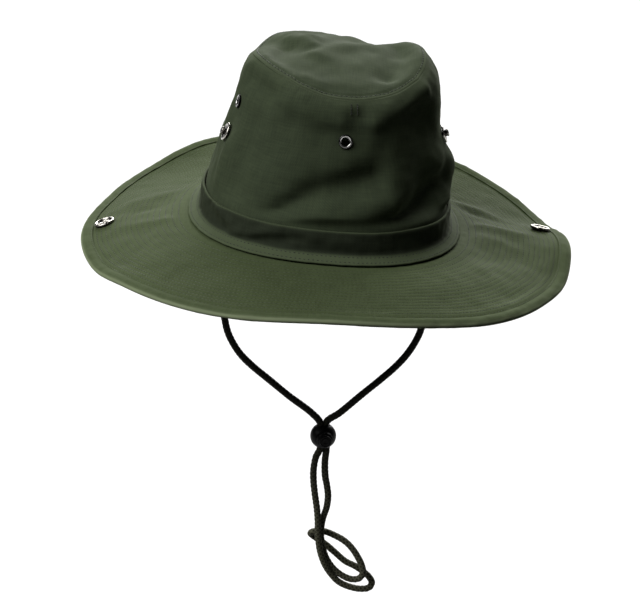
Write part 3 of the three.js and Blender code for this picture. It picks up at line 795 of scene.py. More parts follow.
def band_at(angle, profile):
    angle, offset = np.meshgrid(angle, profile[:, 0])
    height = np.broadcast_to(profile[:, 1:], offset.shape)
    free = smooth_step(height, 6, BAND_HEIGHT)
    place = beside_crown(angle, offset, height)
    slack = 0.2 * (1 + ripples(place * [1, 1, 0.15], 60, seed=31)) * free
    crease = folds_lift(BAND_FOLDS, angle, height)
    crease = crease * smooth_step(height, 2, 7) * smooth_step(offset, 0.5, 2)
    fine = 0.12 * ripples(place, 9, seed=32) * smooth_step(offset, 0.5, 2)
    rise = 0.3 * ripples(place * [1, 1, 0], 50, seed=33) * smooth_step(height, 12, BAND_HEIGHT)
    return beside_crown(angle, offset + slack + crease + fine, height + rise)


band_section = band_profile()
band_grid = band_at(COLUMN_ANGLES, band_section)
band_length = np.concatenate([[0], np.cumsum(np.hypot(*np.diff(band_section, axis=0).T))])
band_flat = np.stack(np.meshgrid(np.radians(CLOSED_ANGLES) * WALL_RADIUS, band_length), -1)
# The upper fold is paled, partly as wear and partly as a painted highlight. The foot strip is painted
# pale, as painted light where it faces up.
band_worn = np.exp(-(((band_section[:, 1] - 20.9) / 0.6) ** 2)) * 0.5
band_worn = band_worn + 0.75 * smooth_step(band_section[:, 0], 2.6, 4.2)
band_mesh = grid_mesh("hat_band_cloth", band_grid, band_flat, worn=band_worn[:, None])
hat_band = new_piece("hat_band_cloth", band_mesh, drill_band_painted_shade)
print("hat band:", len(hat_band.data.polygons), "faces, section of", len(band_section), "points")

# %% [markdown]
# ## The stitched brim
#
# Two plies of drill are quilted together by sixteen rows of lockstitch, each a constant step from
# the next. Between rows the plies puff up, and at a row the thread pulls them into a groove. The
# rows of the grid are placed so that one falls exactly in each groove, and the thread follows it.

# %% Make the brim
STITCH_ROWS = 16
FIRST_ROW, LAST_ROW = 0.06, 0.965  # their shares of the way from the band to the hem
ROW_STEPS = [0, 0.13, 0.32, 0.5, 0.68, 0.87]  # rows of the grid between two rows of stitches
QUILT_PUFF = 0.2
QUILT_GROOVE = 0.12
BRIM_COLUMNS = 640
BRIM_ANGLES, BRIM_CLOSED = round_about(BRIM_COLUMNS)
BRIM_CREASES = table(
    "x y to_x to_y width rise",
    (-152, 26, -84, 46, 9, 1.5),
    (-150, 8, -86, 16, 7, -1.0),
    (-148, -14, -84, -33, 6, 1.2),
    (84, 70, 130, 42, 6, 1.4),
    (86, 57, 134, 29, 6, -1.0),
    (86, 10, 156, 4, 6, 1.4),
    (88, -4, 150, -10, 8, -0.9),
)

stitch_shares = np.linspace(LAST_ROW, FIRST_ROW, STITCH_ROWS)
row_gap = stitch_shares[0] - stitch_shares[1]
quilted = (stitch_shares[:, None] - row_gap * np.array(ROW_STEPS)).ravel()
BRIM_SHARES = np.concatenate([[1, 0.985], quilted[quilted > 0], [0.0]])
UNDER_SHARES = np.concatenate([[0.0], stitch_shares[::-1], (stitch_shares - row_gap / 2)[::-1]])
UNDER_SHARES = np.unique(np.clip(np.concatenate([UNDER_SHARES, [1]]), 0, 1))


def front_of_brim(angle):
    """1 round the front, where the hem lies flush, and 0 at the back, where its edge shows."""
    return smooth_step(angle, 185, 205) * smooth_step(angle, 352, 335)


def quilting(share):
    """How far the plies puff up between two rows of stitches, or sink at one."""
    between = np.abs(np.sin(math.pi * (share - FIRST_ROW) / row_gap))
    return QUILT_PUFF * between**0.6 - QUILT_GROOVE


def brim_relief(grid, angle, share):
    """Quilting, creases and unevenness of the brim in millimetres along its upward direction."""
    outside = (share < FIRST_ROW - 0.4 * row_gap) | (share > LAST_ROW + 0.4 * row_gap)
    puff = np.where(outside, 0.15, quilting(share))
    uneven = 1 + 0.3 * ripples(grid, 7, seed=41)
    rolling = 0.5 * ripples(grid, 60, seed=42) + 0.15 * ripples(grid, 18, seed=43)
    crease = 0
    across, back = grid[..., 0], grid[..., 1]
    for x, y, to_x, to_y, width, rise in rows_of(BRIM_CREASES):
        run_x, run_y = to_x - x, to_y - y
        along = ((across - x) * run_x + (back - y) * run_y) / math.hypot(run_x, run_y) ** 2
        fade = np.sin(math.pi * np.clip(along, 0, 1))
        crease = crease + fade * fold_lift(across, back, x, y, to_x, to_y, 0, width, rise)
    edges = smooth_step(share, 0.02, 0.2) * smooth_step(share, 1.0, 0.9)
    flush = 0.75 * front_of_brim(angle) * smooth_step(share, 0.86, 0.99)
    return puff * uneven + (rolling + crease) * edges + flush


def brim_at(share, side=1, depth=0.0):
    """Rows of the brim, from the hem inward. Side is 1 above and -1 for the ply below."""
    angle, share = np.meshgrid(BRIM_ANGLES, share)
    grid = brim_curve(angle, share)
    if depth:
        grid = grid - brim_edge(angle)[4] * depth
    relief = brim_relief(grid, angle, share)
    if side < 0:
        relief = np.minimum(relief, 0.4) - 2 * np.clip(quilting(share), -0.2, 0.15)
    return grid + normals_of(grid) * relief[..., None]


def brim_row(kind, depth=0.0):
    """One of the plain rows: under the hem at the edge, or under the band at the foot."""
    _, _, corner, _, up = brim_edge(BRIM_ANGLES)
    place = corner if kind == "edge" else beside_crown(BRIM_ANGLES, -CLOTH, -GAP)
    return (place - up * depth)[None]


brim_top = brim_at(BRIM_SHARES)
brim_under = brim_at(UNDER_SHARES[::-1], side=-1, depth=CLOTH)[::-1]
brim_above = [brim_row("edge"), brim_top, brim_row("foot")]
brim_below = [brim_row("foot", CLOTH), brim_under, brim_row("edge", CLOTH)]
brim_grid = np.concatenate(brim_above + brim_below)
brim = new_piece("brim_cloth", grid_mesh("brim_cloth", brim_grid, worn=0.0), drill_brim)
print("brim:", len(brim.data.polygons), "faces,", STITCH_ROWS, "rows of quilting")

# %% [markdown]
# ## The hem
#
# A bias strip is folded over the brim's edge and stitched through all plies. Folded cloth is
# never quite flat, so the strip is fullest near the edge and thin at its stitched side.

# %% Make the hem
BRIM_RADIUS = 170  # the hem is unrolled on this radius
HEM_PROFILE = table(
    "out up",
    (-6.0, 0.25),
    (-2.0, 0.25),
    (0.15, 0.25),
    (0.25, -0.8),
    (0.15, -1.85),
    (-2.0, -1.85),
    (-6.0, -1.85),
    (-7.9, -1.95),
    (-7.95, -2.4),
    (-7.5, -2.75),
    (-6.6, -2.7),
    (-5.4, -3.0),
    (-3.0, -3.1),
    (-0.8, -2.85),
    (0.4, -2.4),
    (1.1, -1.7),
    (1.35, -0.8),
    (1.15, 0.1),
    (0.5, 0.85),
    (-0.6, 1.35),
    (-2.0, 1.6),
    (-3.6, 1.65),
    (-5.2, 1.45),
    (-6.4, 1.05),
    (-7.0, 0.95),
    (-7.6, 1.1),
    (-7.95, 0.8),
    (-7.9, 0.35),
)


def hem_at(angle, out, up):
    """Points of the hem's section round the brim, with the slack of folded cloth."""
    angle, out = np.meshgrid(angle, out)
    up = np.broadcast_to(np.asarray(up)[:, None], out.shape)
    _, _, corner, outward, upward = brim_edge(angle)
    flush = front_of_brim(angle) * smooth_step(out, -3.5, -6.5) * (up > 0)
    up = up * (1 - 0.35 * flush)
    plain = corner + outward * out[..., None] + upward * up[..., None]
    free = smooth_step(np.abs(up + CLOTH / 2), CLOTH / 2 + 0.5, CLOTH / 2 + 1.4)
    slack = 0.18 * ripples(plain, 16, seed=51) + 0.1 * ripples(plain * [1, 1, 0.3], 6, seed=52)
    swell = slack * free * np.sign(up + CLOTH / 2)
    return plain + upward * swell[..., None]


hem_grid = hem_at(BRIM_ANGLES, HEM_PROFILE["out"], HEM_PROFILE["up"])
hem_across = np.hypot(np.diff(HEM_PROFILE["out"]), np.diff(HEM_PROFILE["up"]))
hem_across = np.concatenate([[0], np.cumsum(hem_across)])
hem_flat = np.stack(np.meshgrid(np.radians(BRIM_CLOSED) * BRIM_RADIUS, hem_across), -1)
# The outer crest of the roll is painted pale, partly as wear and partly as a painted highlight.
hem_worn = 0.9 * np.exp(-(((HEM_PROFILE["out"] - 1.2) / 1.2) ** 2))
hem_mesh = grid_mesh("brim_hem_cloth", hem_grid, hem_flat, worn=hem_worn[:, None])
brim_hem = new_piece("brim_hem_cloth", hem_mesh, drill_hem)
print("hem:", len(brim_hem.data.polygons), "faces")

# %% [markdown]
# ## Stitches
#
# A lockstitch shows as a short bead of thread that dives into the cloth at both ends. Each bead
# here is three small rings of four points, flat and sunk at its ends and raised in the middle.
# Thousands of them are one mesh, built in one go from arrays. Between the beads the needle has
# left small holes, and their shade is painted: the same beads made shorter and flatter, in
# near-black thread, half a step further.
#
# The thread is spun polyester, a little smoother than the cotton, so it is a shade less rough.

# %% Thread material and stitch maker
THREAD_HALF = 0.36  # half a stitch's breadth
SINK = 0.3  # how deep its ends lie in the cloth
STITCH_PITCH = 3.0
STITCH_FILL = 0.74  # share of the pitch that thread covers
BEAD = [(-SINK, 0.5), (None, 1), (-SINK, 0.5)]  # height and size of each ring. None is lifted
FUZZ = 900  # waves in a metre


def spun_thread(name, dark, light):
    material, tree = new_material(name)
    fuzz = noise(tree, object_place(tree), FUZZ, 2)
    shade = blend_colours(tree, fuzz, linear(dark), linear(light))
    surface = {"Base Color": shade, "Roughness": 0.7, "Specular IOR Level": 0.35, "Sheen Weight": 0.15}
    add_surface(tree, surface)
    return material


def along_line(points, closed):
    """A line's points, with the first again at the end if it closes, and each one's distance."""
    if closed:
        points = np.concatenate([points, points[:1]])
    steps = np.linalg.norm(np.diff(points, axis=0), axis=1)
    return points, np.concatenate([[0], np.cumsum(steps)])


def at_distances(line, distance, wanted):
    return np.stack([np.interp(wanted, distance, line[:, k]) for k in range(3)], -1)


def stitch_rings(line, pitch, half, lift, fill, start):
    """The three rings of every bead on one line, which is its points, the directions out of the
    cloth there, and whether it closes."""
    points, normals, closed = line
    points, distance = along_line(points, closed)
    normals = np.concatenate([normals, normals[:1]]) if closed else normals
    number = max(int(round(distance[-1] / pitch)), 1)
    step = distance[-1] / number
    begin = (np.arange(number) + start + (1 - fill) / 2) * step
    middle, end = begin + fill * step / 2, begin + fill * step
    places = [at_distances(points, distance, d % distance[-1]) for d in (begin, middle, end)]
    up = unit(at_distances(normals, distance, middle % distance[-1]))
    side = unit(np.cross(up, places[2] - places[0]))
    rings = []
    for place, (height, size) in zip(places, BEAD):
        centre = place + up * (lift if height is None else height)
        wide, high = side * half * size, up * half * 0.8 * size
        rings.append(np.stack([centre + wide, centre + high, centre - wide, centre - high], 1))
    return np.stack(rings, 1)


def sew(name, lines, thread, pitch=STITCH_PITCH, half=THREAD_HALF, lift=0.12, fill=STITCH_FILL, start=0):
    """One piece that holds all the beads of thread along some lines."""
    rings = np.concatenate([stitch_rings(line, pitch, half, lift, fill, start) for line in lines])
    faces = [[3, 2, 1, 0], [8, 9, 10, 11]]
    for ring in (0, 4):
        for k in range(4):
            beside = (k + 1) % 4
            faces.append([ring + k, ring + beside, ring + 4 + beside, ring + 4 + k])
    every = (np.arange(len(rings))[:, None, None] * 12 + np.array(faces)[None]).reshape(-1, 4)
    print(name, "has", len(rings), "beads")
    return new_piece(name, mesh_from(name, rings.reshape(-1, 3), every.tolist()), thread)


olive_thread = spun_thread("spun_thread_olive", "#343b29", "#4e573f")
# Near-black thread. It paints the shade in the needle holes, and it is the dark thread of the band's rows
# and the tack bars.
dark_thread_and_shade = spun_thread("spun_thread_dark_and_painted_shade", "#0c0f0a", "#1b2016")
print("thread:", olive_thread.name, "and", dark_thread_and_shade.name)

# %% [markdown]
# The rows follow the grids that the cloth was made from, so each bead sits on its cloth. On the
# brim they lie in the grooves, and on the tip in the welt. Following a row costs nothing more,
# while projecting thousands of beads on the finished cloth would be slow.

# %% Sew the pieces
BAND_STITCHES_OUT = (8.3, 4.4)  # how far out from the crown the band's two rows lie
HEM_STITCHES_OUT = -7.0  # the same for the hem, from the brim's edge
FAR_FACE = 9  # shifts a profile's far face away, so the nearest row is always on the near one
TIP_RADIUS = 65  # the tip's mean radius, to turn the inset of its seam into a share
TIP_STEP = 0.006  # share between the three rows that give the tip's direction at the stitches


def nearest_row(values, wanted):
    return int(np.argmin(np.abs(values - wanted)))


def row_line(grid, row):
    return grid[row], normals_of(grid)[row], True


quilt_lines = [row_line(brim_top, nearest_row(BRIM_SHARES, share)) for share in stitch_shares]
brim_quilting = sew("brim_quilting", quilt_lines, olive_thread)
# Painted shade of the needle holes: short flat beads of near-black thread between the stitches.
quilt_hole_shade = sew("brim_needle_hole_shade", quilt_lines, dark_thread_and_shade, half=0.42, lift=0.05, fill=0.3, start=0.5)

hem_outer = HEM_PROFILE["out"] - FAR_FACE * (HEM_PROFILE["up"] < 0)
hem_row = nearest_row(hem_outer, HEM_STITCHES_OUT)
hem_stitches = sew("hem_stitches", [row_line(hem_grid, hem_row)], olive_thread)

tip_share = 1 - SEAM_INSET / TIP_RADIUS
tip_rows = leaned(tip_at(np.array([tip_share + TIP_STEP, tip_share, tip_share - TIP_STEP])))
tip_lines = [row_line(tip_rows, 1)]
tip_stitches = sew("tip_stitches", tip_lines, olive_thread, pitch=3.4, half=0.5, lift=0.2, fill=0.6)
# Painted shade of the needle holes: short flat beads of near-black thread between the stitches.
tip_hole_shade = sew("tip_needle_hole_shade", tip_lines, dark_thread_and_shade, pitch=3.4, half=0.6, fill=0.4, start=0.5)

band_outer = band_section[:, 0] + FAR_FACE * (band_section[:, 1] < 1.5)
band_lines = [row_line(band_grid, nearest_row(band_outer, out)) for out in BAND_STITCHES_OUT]
band_stitches = sew("band_stitches", band_lines, dark_thread_and_shade)

# %% [markdown]
# Two short bars of thread under the front of the top seam tack the side wall's own seam. They are
# the same beads, set closer, along two upright lines that are worked out from the wall's form.

# %% Tack bars under the seam
TACK_ANGLES = (277.6, 281.4)
TACK_DROPS = np.linspace(1.6, 8.6, 8)


def tack_line(angle):
    """A short upright line on the side wall, just under the seam."""
    drop, angles = np.meshgrid(TACK_DROPS, angle + np.array([-0.5, 0, 0.5]))
    grid = leaned(crown_wall(angles, seam_height(angles) - drop))
    across, down = grid[2] - grid[0], np.gradient(grid[1], axis=0)
    return grid[1], unit(np.cross(down, across)), False


tack_lines = [tack_line(angle) for angle in TACK_ANGLES]
tack_bars = sew("tack_bars", tack_lines, dark_thread_and_shade, pitch=1.7, half=0.4)

# %% [markdown]
# ## Metal fittings
#
# The eyelets and snaps are pressed brass with a thin nickel plating. Plating keeps metal's own
# reflection, warm grey for nickel, and the pressing leaves fine scratches, so the roughness is
# uneven. In the creases, where a cloth never reaches, nickel tarnishes dark. The same dark colour
# is laid on the stud's post and head as painted dark reflection. The eyelets' nickel is slightly
# darker, and their dark colour is nearly black.

# %% Nickel plate
SCRATCH = 2.5  # length of a scratch, which is six times as long as it is broad


def nickel_plate(name, colour, tarnish_and_painted_shade):
    material, tree = new_material(name)
    place = stretched(tree, object_place(tree), (1, 1, 6))
    scratches = noise(tree, place, 1 / (SCRATCH * MM), 4)
    surface = {
        "Base Color": blend_colours(tree, attribute(tree, "worn"), linear(colour), linear(tarnish_and_painted_shade)),
        "Metallic": 1.0,
        "Roughness": map_range(tree, scratches, 0.3, 0.7, 0.16, 0.34),
        "Normal": bump(tree, scratches, 0.12, 0.05),
    }
    add_surface(tree, surface)
    return material


nickel = nickel_plate("nickel_plated_brass", "#b9b6ae", "#24221f")
eyelet_nickel = nickel_plate("eyelet_nickel_brass", "#b2b1ae", "#111111")
print("plating:", nickel.name, "and", eyelet_nickel.name)

# %% [markdown]
# The fittings are round, so each is a profile turned about its axis, as on a lathe. A rolled edge
# then costs only a few rows of a table. A piece is made upright and is then stood on the cloth,
# facing the way the cloth faces there, which is found from four points close by.

# %% Turned pieces
TURNED_SIDES = 72
AXIS = 0.02  # a profile stops just short of its axis, where a small cap closes it


def turned_mesh(name, profile, ring=False, relief=None, sides=TURNED_SIDES):
    """A profile of radius, height and tarnish, turned round its axis. A ring's profile closes."""
    radius, height, tarnish_and_painted_shade = np.array(profile, float).T
    angle, radius = np.meshgrid(np.radians(round_about(sides)[0]), radius)
    height = np.broadcast_to(height[:, None], radius.shape)
    if relief is not None:
        height = height + relief(radius, angle)
    grid = np.stack([radius * np.cos(angle), radius * np.sin(angle), height], -1)
    return grid_mesh(name, grid, hoop=ring, worn=tarnish_and_painted_shade[:, None])


def stand_on(mesh, place, out):
    """Turns a mesh made upright along +Z, so that it stands on a place and faces out."""
    turn = Vector((0, 0, 1)).rotation_difference(Vector(out)).to_matrix().to_4x4()
    mesh.transform(Matrix.Translation(Vector(place) * MM) @ turn)
    return mesh


def seat_on(surface, wide, high):
    """A place on the cloth, and the direction straight out of it. The surface is a function of
    how far round and how far up from the place a point lies."""
    across, up = surface(wide, 0) - surface(-wide, 0), surface(0, high) - surface(0, -high)
    return surface(0, 0), unit(np.cross(across, up))


def crown_seat(angle, height):
    """A place on the side wall at a height, and the direction out of it."""
    share = height / seam_height(angle)

    def at(turned_by, share_by):
        beside = angle + turned_by
        return leaned(crown_wall(np.array(float(beside)), (share + share_by) * seam_height(beside)))

    return seat_on(at, 3, 0.03)


def brim_seat(angle, share):
    """A place on the brim, just inside the hem, and the direction out of it."""

    def at(turned_by, share_by):
        return brim_curve(np.array(float(angle + turned_by)), np.array(share - share_by))

    return seat_on(at, 2, 0.03)


def fitting(name, seat, profile, material, **turned):
    """A turned fitting that stands on its seat."""
    return new_piece(name, stand_on(turned_mesh(name, profile, **turned), *seat), material)

# %% [markdown]
# An eyelet is a short tube pressed through the cloth, rolled over outside and spread flat inside.
# Its profile closes on itself, so the piece is a ring with a real hole. The third number of a row
# says how far the metal is darkened there: the outer slope of the roll and the bore are dark, and
# the crest of the roll is left bright. Four eyelets air the crown.

# %% Eyelets
EYELET_PROFILE = [
    (2.85, -2.7, 0.6),
    (3.6, -2.8, 0.2),
    (4.1, -2.65, 0.1),
    (4.15, -2.3, 0.4),
    (3.9, -2.15, 1),
    (3.4, -2.15, 1),
    (3.4, 0.5, 1),
    (4.3, 0.5, 1),
    (4.65, 0.6, 1),
    (4.72, 0.82, 1),
    (4.5, 1.1, 1),
    (4.1, 1.32, 0.8),
    (3.7, 1.38, 0.1),
    (3.3, 1.25, 0),
    (3.0, 0.95, 0.1),
    (2.85, 0.5, 0.8),
    (2.8, 0.0, 1),
    (2.8, -2.2, 1),
]
EYELETS = {
    "eyelet_front": (FRONT, 78),
    "eyelet_left": (197, 85),
    "eyelet_right": (4, 86),
    "eyelet_back": (96, 82),
}
eyelets = {
    name: fitting(name + "_metal", crown_seat(*seat), EYELET_PROFILE, eyelet_nickel, ring=True)
    for name, seat in EYELETS.items()
}
print("eyelets:", len(eyelets), "of", len(EYELET_PROFILE) * TURNED_SIDES, "faces")

# %% [markdown]
# The cloth is punched before an eyelet is pressed in. A round bar is taken out of the wall by a
# Boolean at each eyelet, so one can see through the hole, which a dark disc could only pretend.

# %% Punch the holes
PUNCH_RADIUS = 3.1
PUNCH_HALF = 8
PUNCH_PROFILE = [
    (AXIS, -PUNCH_HALF, 0),
    (PUNCH_RADIUS, -PUNCH_HALF, 0),
    (PUNCH_RADIUS, PUNCH_HALF, 0),
    (AXIS, PUNCH_HALF, 0),
]
for name, seat in EYELETS.items():
    cut_from(crown_side, fitting(name + "_punch", crown_seat(*seat), PUNCH_PROFILE, None))
print("side wall with holes:", len(crown_side.data.polygons), "faces")

# %% [markdown]
# A stud is half of a snap fastener. When a side of the brim is folded up, its socket grips the
# stud's round head. One turned profile makes the disc inside, the post through the cloth, the
# dished collar and the head, which on a real snap are two pressed parts.

# %% Snaps on the crown
# The third numbers paint the post and the top of the head dark, as painted dark reflection, and leave the
# collar's crest bright.
STUD_PROFILE = [
    (AXIS, -3.25, 0),
    (3.0, -3.2, 0),
    (4.6, -2.95, 0.1),
    (5.0, -2.6, 0.3),
    (4.8, -2.3, 1),
    (1.4, -2.3, 1),
    (1.4, 0.7, 1),
    (6.1, 0.7, 1),
    (6.5, 0.85, 0.5),
    (6.6, 1.2, 0.1),
    (6.4, 1.65, 0),
    (5.9, 1.95, 0),
    (5.1, 1.95, 0),
    (4.3, 1.7, 0.3),
    (3.5, 1.45, 1),
    (2.8, 1.5, 1),
    (2.5, 1.9, 1),
    (2.35, 2.6, 1),
    (2.4, 3.2, 0.9),
    (2.6, 3.6, 0.7),
    (2.65, 4.0, 0.5),
    (2.5, 4.4, 0.5),
    (2.1, 4.65, 0.6),
    (1.3, 4.7, 0.8),
    (AXIS, 4.5, 1),
]
SNAPS = {"left": (196, 63), "right": (358, 68)}
studs = {
    side: fitting(f"crown_snap_{side}_metal", crown_seat(*seat), STUD_PROFILE, nickel)
    for side, seat in SNAPS.items()
}
print("studs:", len(studs))

# %% [markdown]
# A socket has a rolled rim and, in its well, the spring that grips the stud. Pressed into the
# disc, the spring shows as four raised lobes round a small hole.

# %% Snaps on the brim
SOCKETS = {"left": (180, 0.865), "right": (9, 0.88)}
# The third numbers darken the outside of the rim and its inner wall, and leave its top bright.
SOCKET_BACK = [
    (AXIS, -3.6, 0),
    (3.0, -3.5, 0),
    (5.2, -3.1, 0),
    (6.0, -2.65, 0.2),
    (5.9, -2.4, 0.8),
    (1.4, -2.4, 1),
    (1.4, 0.6, 1),
    (6.4, 0.6, 1),
    (6.95, 0.7, 1),
    (7.2, 1.0, 1),
    (7.25, 1.9, 0.8),
    (7.05, 2.5, 0.1),
    (6.5, 2.8, 0),
    (6.0, 2.8, 0),
    (5.6, 2.6, 0.1),
    (5.25, 2.1, 0.6),
    (4.9, 1.5, 0.9),
]
WELL_RADIUS = 4.6
WELL_FLOOR = 1.35
LOBE_RADIUS = 3.0  # of the ring that the lobes lie on


def lobes(radius, angle):
    """The relief of the spring in a socket's well."""
    petals = 0.5 + 0.5 * np.tanh(3.5 * (np.cos(4 * angle) + 0.1))
    ring = np.exp(-(((radius - LOBE_RADIUS) / 1.05) ** 2))
    hole = -0.5 * smooth_step(radius, 1.4, 0.8)
    return np.where(radius < 4.75, 0.9 * ring * petals + hole, 0)


socket_profile = list(SOCKET_BACK)
# The well is darkened inside and outside the ring of lobes.
for well_radius in np.arange(WELL_RADIUS, 0.1, -0.3):
    tarnish_and_painted_shade = 0.7 if abs(well_radius - LOBE_RADIUS) > 1.3 else 0.1
    socket_profile.append((well_radius, WELL_FLOOR, tarnish_and_painted_shade))
socket_profile.append((AXIS, WELL_FLOOR, 1))

sockets = {
    side: fitting(f"brim_snap_{side}_metal", brim_seat(*seat), socket_profile, nickel, relief=lobes)
    for side, seat in SOCKETS.items()
}
print("sockets:", len(sockets), "with", len(socket_profile), "rings")

# %% [markdown]
# ## Chin cord
#
# One limp cord leaves a tab inside the left of the crown, hangs down and inward through the lock,
# is twisted into a loose double loop below it, comes back up through the lock and ends at the
# tab on the right. The route is a list of points, joined by a centripetal Catmull-Rom curve,
# which never overshoots between points that lie at uneven distances.

# %% The cord's route
CORD_RADIUS = 2.25
STRAND = CORD_RADIUS + 0.1  # each strand's distance from the lock's middle
TAB_WIDTH, TAB_HEIGHT, TAB_THICKNESS, TAB_BELOW = 12, 14, 5.2, 2.2
LOCK_CENTRE = np.array([-0.5, 0, -168])
LOCK_TURN = math.radians(8)
LOCK_RADIUS = 9.5
CORD_DOWN_LEFT = [
    (-78, 0, -20),
    (-75, 0, -45),
    (-71.2, 0, -76),
    (-69, 0, -87),
    (-65.2, 0, -96),
    (-59.5, 0, -105),
    (-51, 0, -114),
    (-40.8, 0, -123),
    (-25, 0, -137),
    (-9, 0, -150),
]
CORD_LOOP = [
    (-5.6, -1, -184),
    (-7.4, -1.5, -193),
    (-7.6, -2, -202.5),
    (-6.5, -3, -214),
    (-5.1, -4, -224.5),
    (-4.5, -5, -233.5),
    (-4.4, -5.5, -241.5),
    (-4, -5.5, -249.5),
    (-2.6, -5, -259.5),
    (0.5, -4, -269.5),
    (4.9, -3, -278),
    (11, -2, -285.5),
    (18.5, -1, -290),
    (27, 0, -292.5),
    (34, 2.2, -292.5),
    (36, 5, -289.5),
    (33.5, 6.8, -285.5),
    (29.5, 6.5, -281.5),
    (24, 6, -277),
    (16, 6, -272.5),
    (8.4, 7, -265.8),
    (1.5, 8.5, -260),
    (-4.2, 9.6, -256.2),
    (-8.2, 9.5, -253),
    (-9.8, 7.4, -250.2),
    (-8.2, 5.4, -248),
    (-4, 5.2, -247),
    (1.5, 5, -247.8),
    (8.3, 4, -250.4),
    (15.2, 2.5, -254),
    (21, 1, -259.5),
    (25.2, 0, -266),
    (28.2, -1, -272.5),
    (29.2, -1.5, -278.5),
    (26.5, -1.5, -283),
    (21.5, -1.2, -284),
    (15.5, -1, -282),
    (9.4, -0.8, -277.5),
    (4.4, -0.6, -271.5),
    (0.9, -0.4, -264.5),
    (-1.2, -0.3, -256),
    (-2.1, -0.3, -249),
    (-2.1, -0.3, -242.5),
    (-0.6, -0.5, -234),
    (2.1, -0.5, -225),
    (3.1, -0.3, -216),
    (2.3, 0, -208),
    (1, 0, -200),
    (0.8, 0.2, -189),
]
CORD_UP_RIGHT = [
    (11.5, 0, -150),
    (26, 0, -137),
    (42, 0, -123),
    (51.6, 0, -114),
    (59.3, 0, -105),
    (65, 0, -96),
    (69, 0, -87),
    (71.5, 0, -76),
    (74.5, 0, -50),
    (77, 0, -28),
]


def tab_centre(side):
    """The middle of the tab inside the crown's foot on one side, in the crown's own frame."""
    share = (TAB_HEIGHT - TAB_BELOW) / float(seam_height(0))
    wall = float(crown_half_width(share)) - CLOTH
    return np.array([side * (wall - 2 * GAP - TAB_THICKNESS / 2), 0, TAB_HEIGHT / 2 - TAB_BELOW])


def cord_start(side):
    return leaned(np.array([tab_centre(side)[0], 0, -TAB_BELOW - 2 * GAP]))


def through_lock(side):
    """Down through the lock, beside its middle."""
    beside = np.array([math.cos(LOCK_TURN), math.sin(LOCK_TURN), 0]) * side * STRAND
    over = np.array([0, 0, LOCK_RADIUS + 1])
    return [LOCK_CENTRE + beside + over, LOCK_CENTRE + beside, LOCK_CENTRE + beside - over]


def catmull_rom(points, per_span):
    """A centripetal Catmull-Rom curve through the points."""
    points = np.asarray(points, float)
    before = 2 * points[0] - points[1]
    after = 2 * points[-1] - points[-2]
    padded = np.concatenate([[before], points, [after]])
    line = []
    for p0, p1, p2, p3 in zip(padded, padded[1:], padded[2:], padded[3:]):
        d0, d1, d2 = (math.sqrt(np.linalg.norm(b - a)) for a, b in ((p0, p1), (p1, p2), (p2, p3)))
        leave = (p1 - p0) / d0 - (p2 - p0) / (d0 + d1) + (p2 - p1) / d1
        arrive = (p2 - p1) / d1 - (p3 - p1) / (d1 + d2) + (p3 - p2) / d2
        for t in np.arange(per_span) / per_span:
            line.append(
                p1 * (2 * t**3 - 3 * t**2 + 1)
                + leave * d1 * (t**3 - 2 * t**2 + t)
                + p2 * (3 * t**2 - 2 * t**3)
                + arrive * d1 * (t**3 - t**2)
            )
    return np.array(line + [points[-1]])


cord_route = [cord_start(-1), *CORD_DOWN_LEFT, *through_lock(-1), *CORD_LOOP]
cord_route += [*through_lock(1)[::-1], *CORD_UP_RIGHT, cord_start(1)]
CORD_RINGS = 2000
SPAN_POINTS = 60  # points of the curve between two points of the route
cord_line = catmull_rom(cord_route, SPAN_POINTS)
cord_steps = np.linalg.norm(np.diff(cord_line, axis=0), axis=1)
cord_length = float(cord_steps.sum())
cord_travel = np.concatenate([[0], np.cumsum(cord_steps)])
evenly = np.linspace(0, cord_length, CORD_RINGS)
cord_line = np.stack([np.interp(evenly, cord_travel, cord_line[:, axis]) for axis in range(3)], -1)
print("the cord is", round(cord_length), "mm long through", len(cord_route), "points")

# %% [markdown]
# The cord is a tubular braid: eight strands, half winding one way and half the other, each
# passing over and under the others. Here the braid is a relief in the tube itself, two sets of
# ridges that take turns to lie on top, so its edge shows the small bumps of a real braid.

# %% The braided tube
CORD_SIDES = 32
BRAID_STRANDS = 8
BRAID_LAY = 13  # length in which a strand winds once round
BRAID_DEPTH = 0.16
TOWARD_LOOP_FROM, TOWARD_LOOP_FULLY = -150, -265  # heights over which the cord thins a little and is painted lighter towards the loop

heading = unit(np.gradient(cord_line, axis=0))
sideways = np.zeros_like(heading)
sideways[0] = unit(np.cross(heading[0], [0, 1, 0]))
for ring in range(1, CORD_RINGS):
    kept = sideways[ring - 1] - heading[ring] * (sideways[ring - 1] @ heading[ring])
    sideways[ring] = unit(kept)
frontways = np.cross(heading, sideways)

around, _ = round_about(CORD_SIDES)
around = np.radians(around)[None, :]
wind = 2 * math.pi * evenly[:, None] / BRAID_LAY
right_hand = np.cos(BRAID_STRANDS / 2 * (around + wind))
left_hand = np.cos(BRAID_STRANDS / 2 * (around - wind))
braid = np.maximum(right_hand, left_hand)
# Painted light: the cord is painted lighter towards the loop, and it also thins a little there.
handled = smooth_step(cord_line[:, 2], TOWARD_LOOP_FROM, TOWARD_LOOP_FULLY)[:, None]
swell = 1.03 + 0.06 * (1 - handled)
swell = swell + 0.012 * np.sin(evenly / 9.0)[:, None] + 0.01 * np.sin(evenly / 3.7 + 1)[:, None]
cord_radii = (CORD_RADIUS + BRAID_DEPTH * braid) * swell
cord_grid = cord_line[:, None] + (
    sideways[:, None] * np.cos(around)[..., None] + frontways[:, None] * np.sin(around)[..., None]
) * cord_radii[..., None]
flat_around = np.linspace(0, 2 * math.pi * CORD_RADIUS, CORD_SIDES + 1)
cord_flat = np.stack(np.meshgrid(flat_around, evenly), -1)
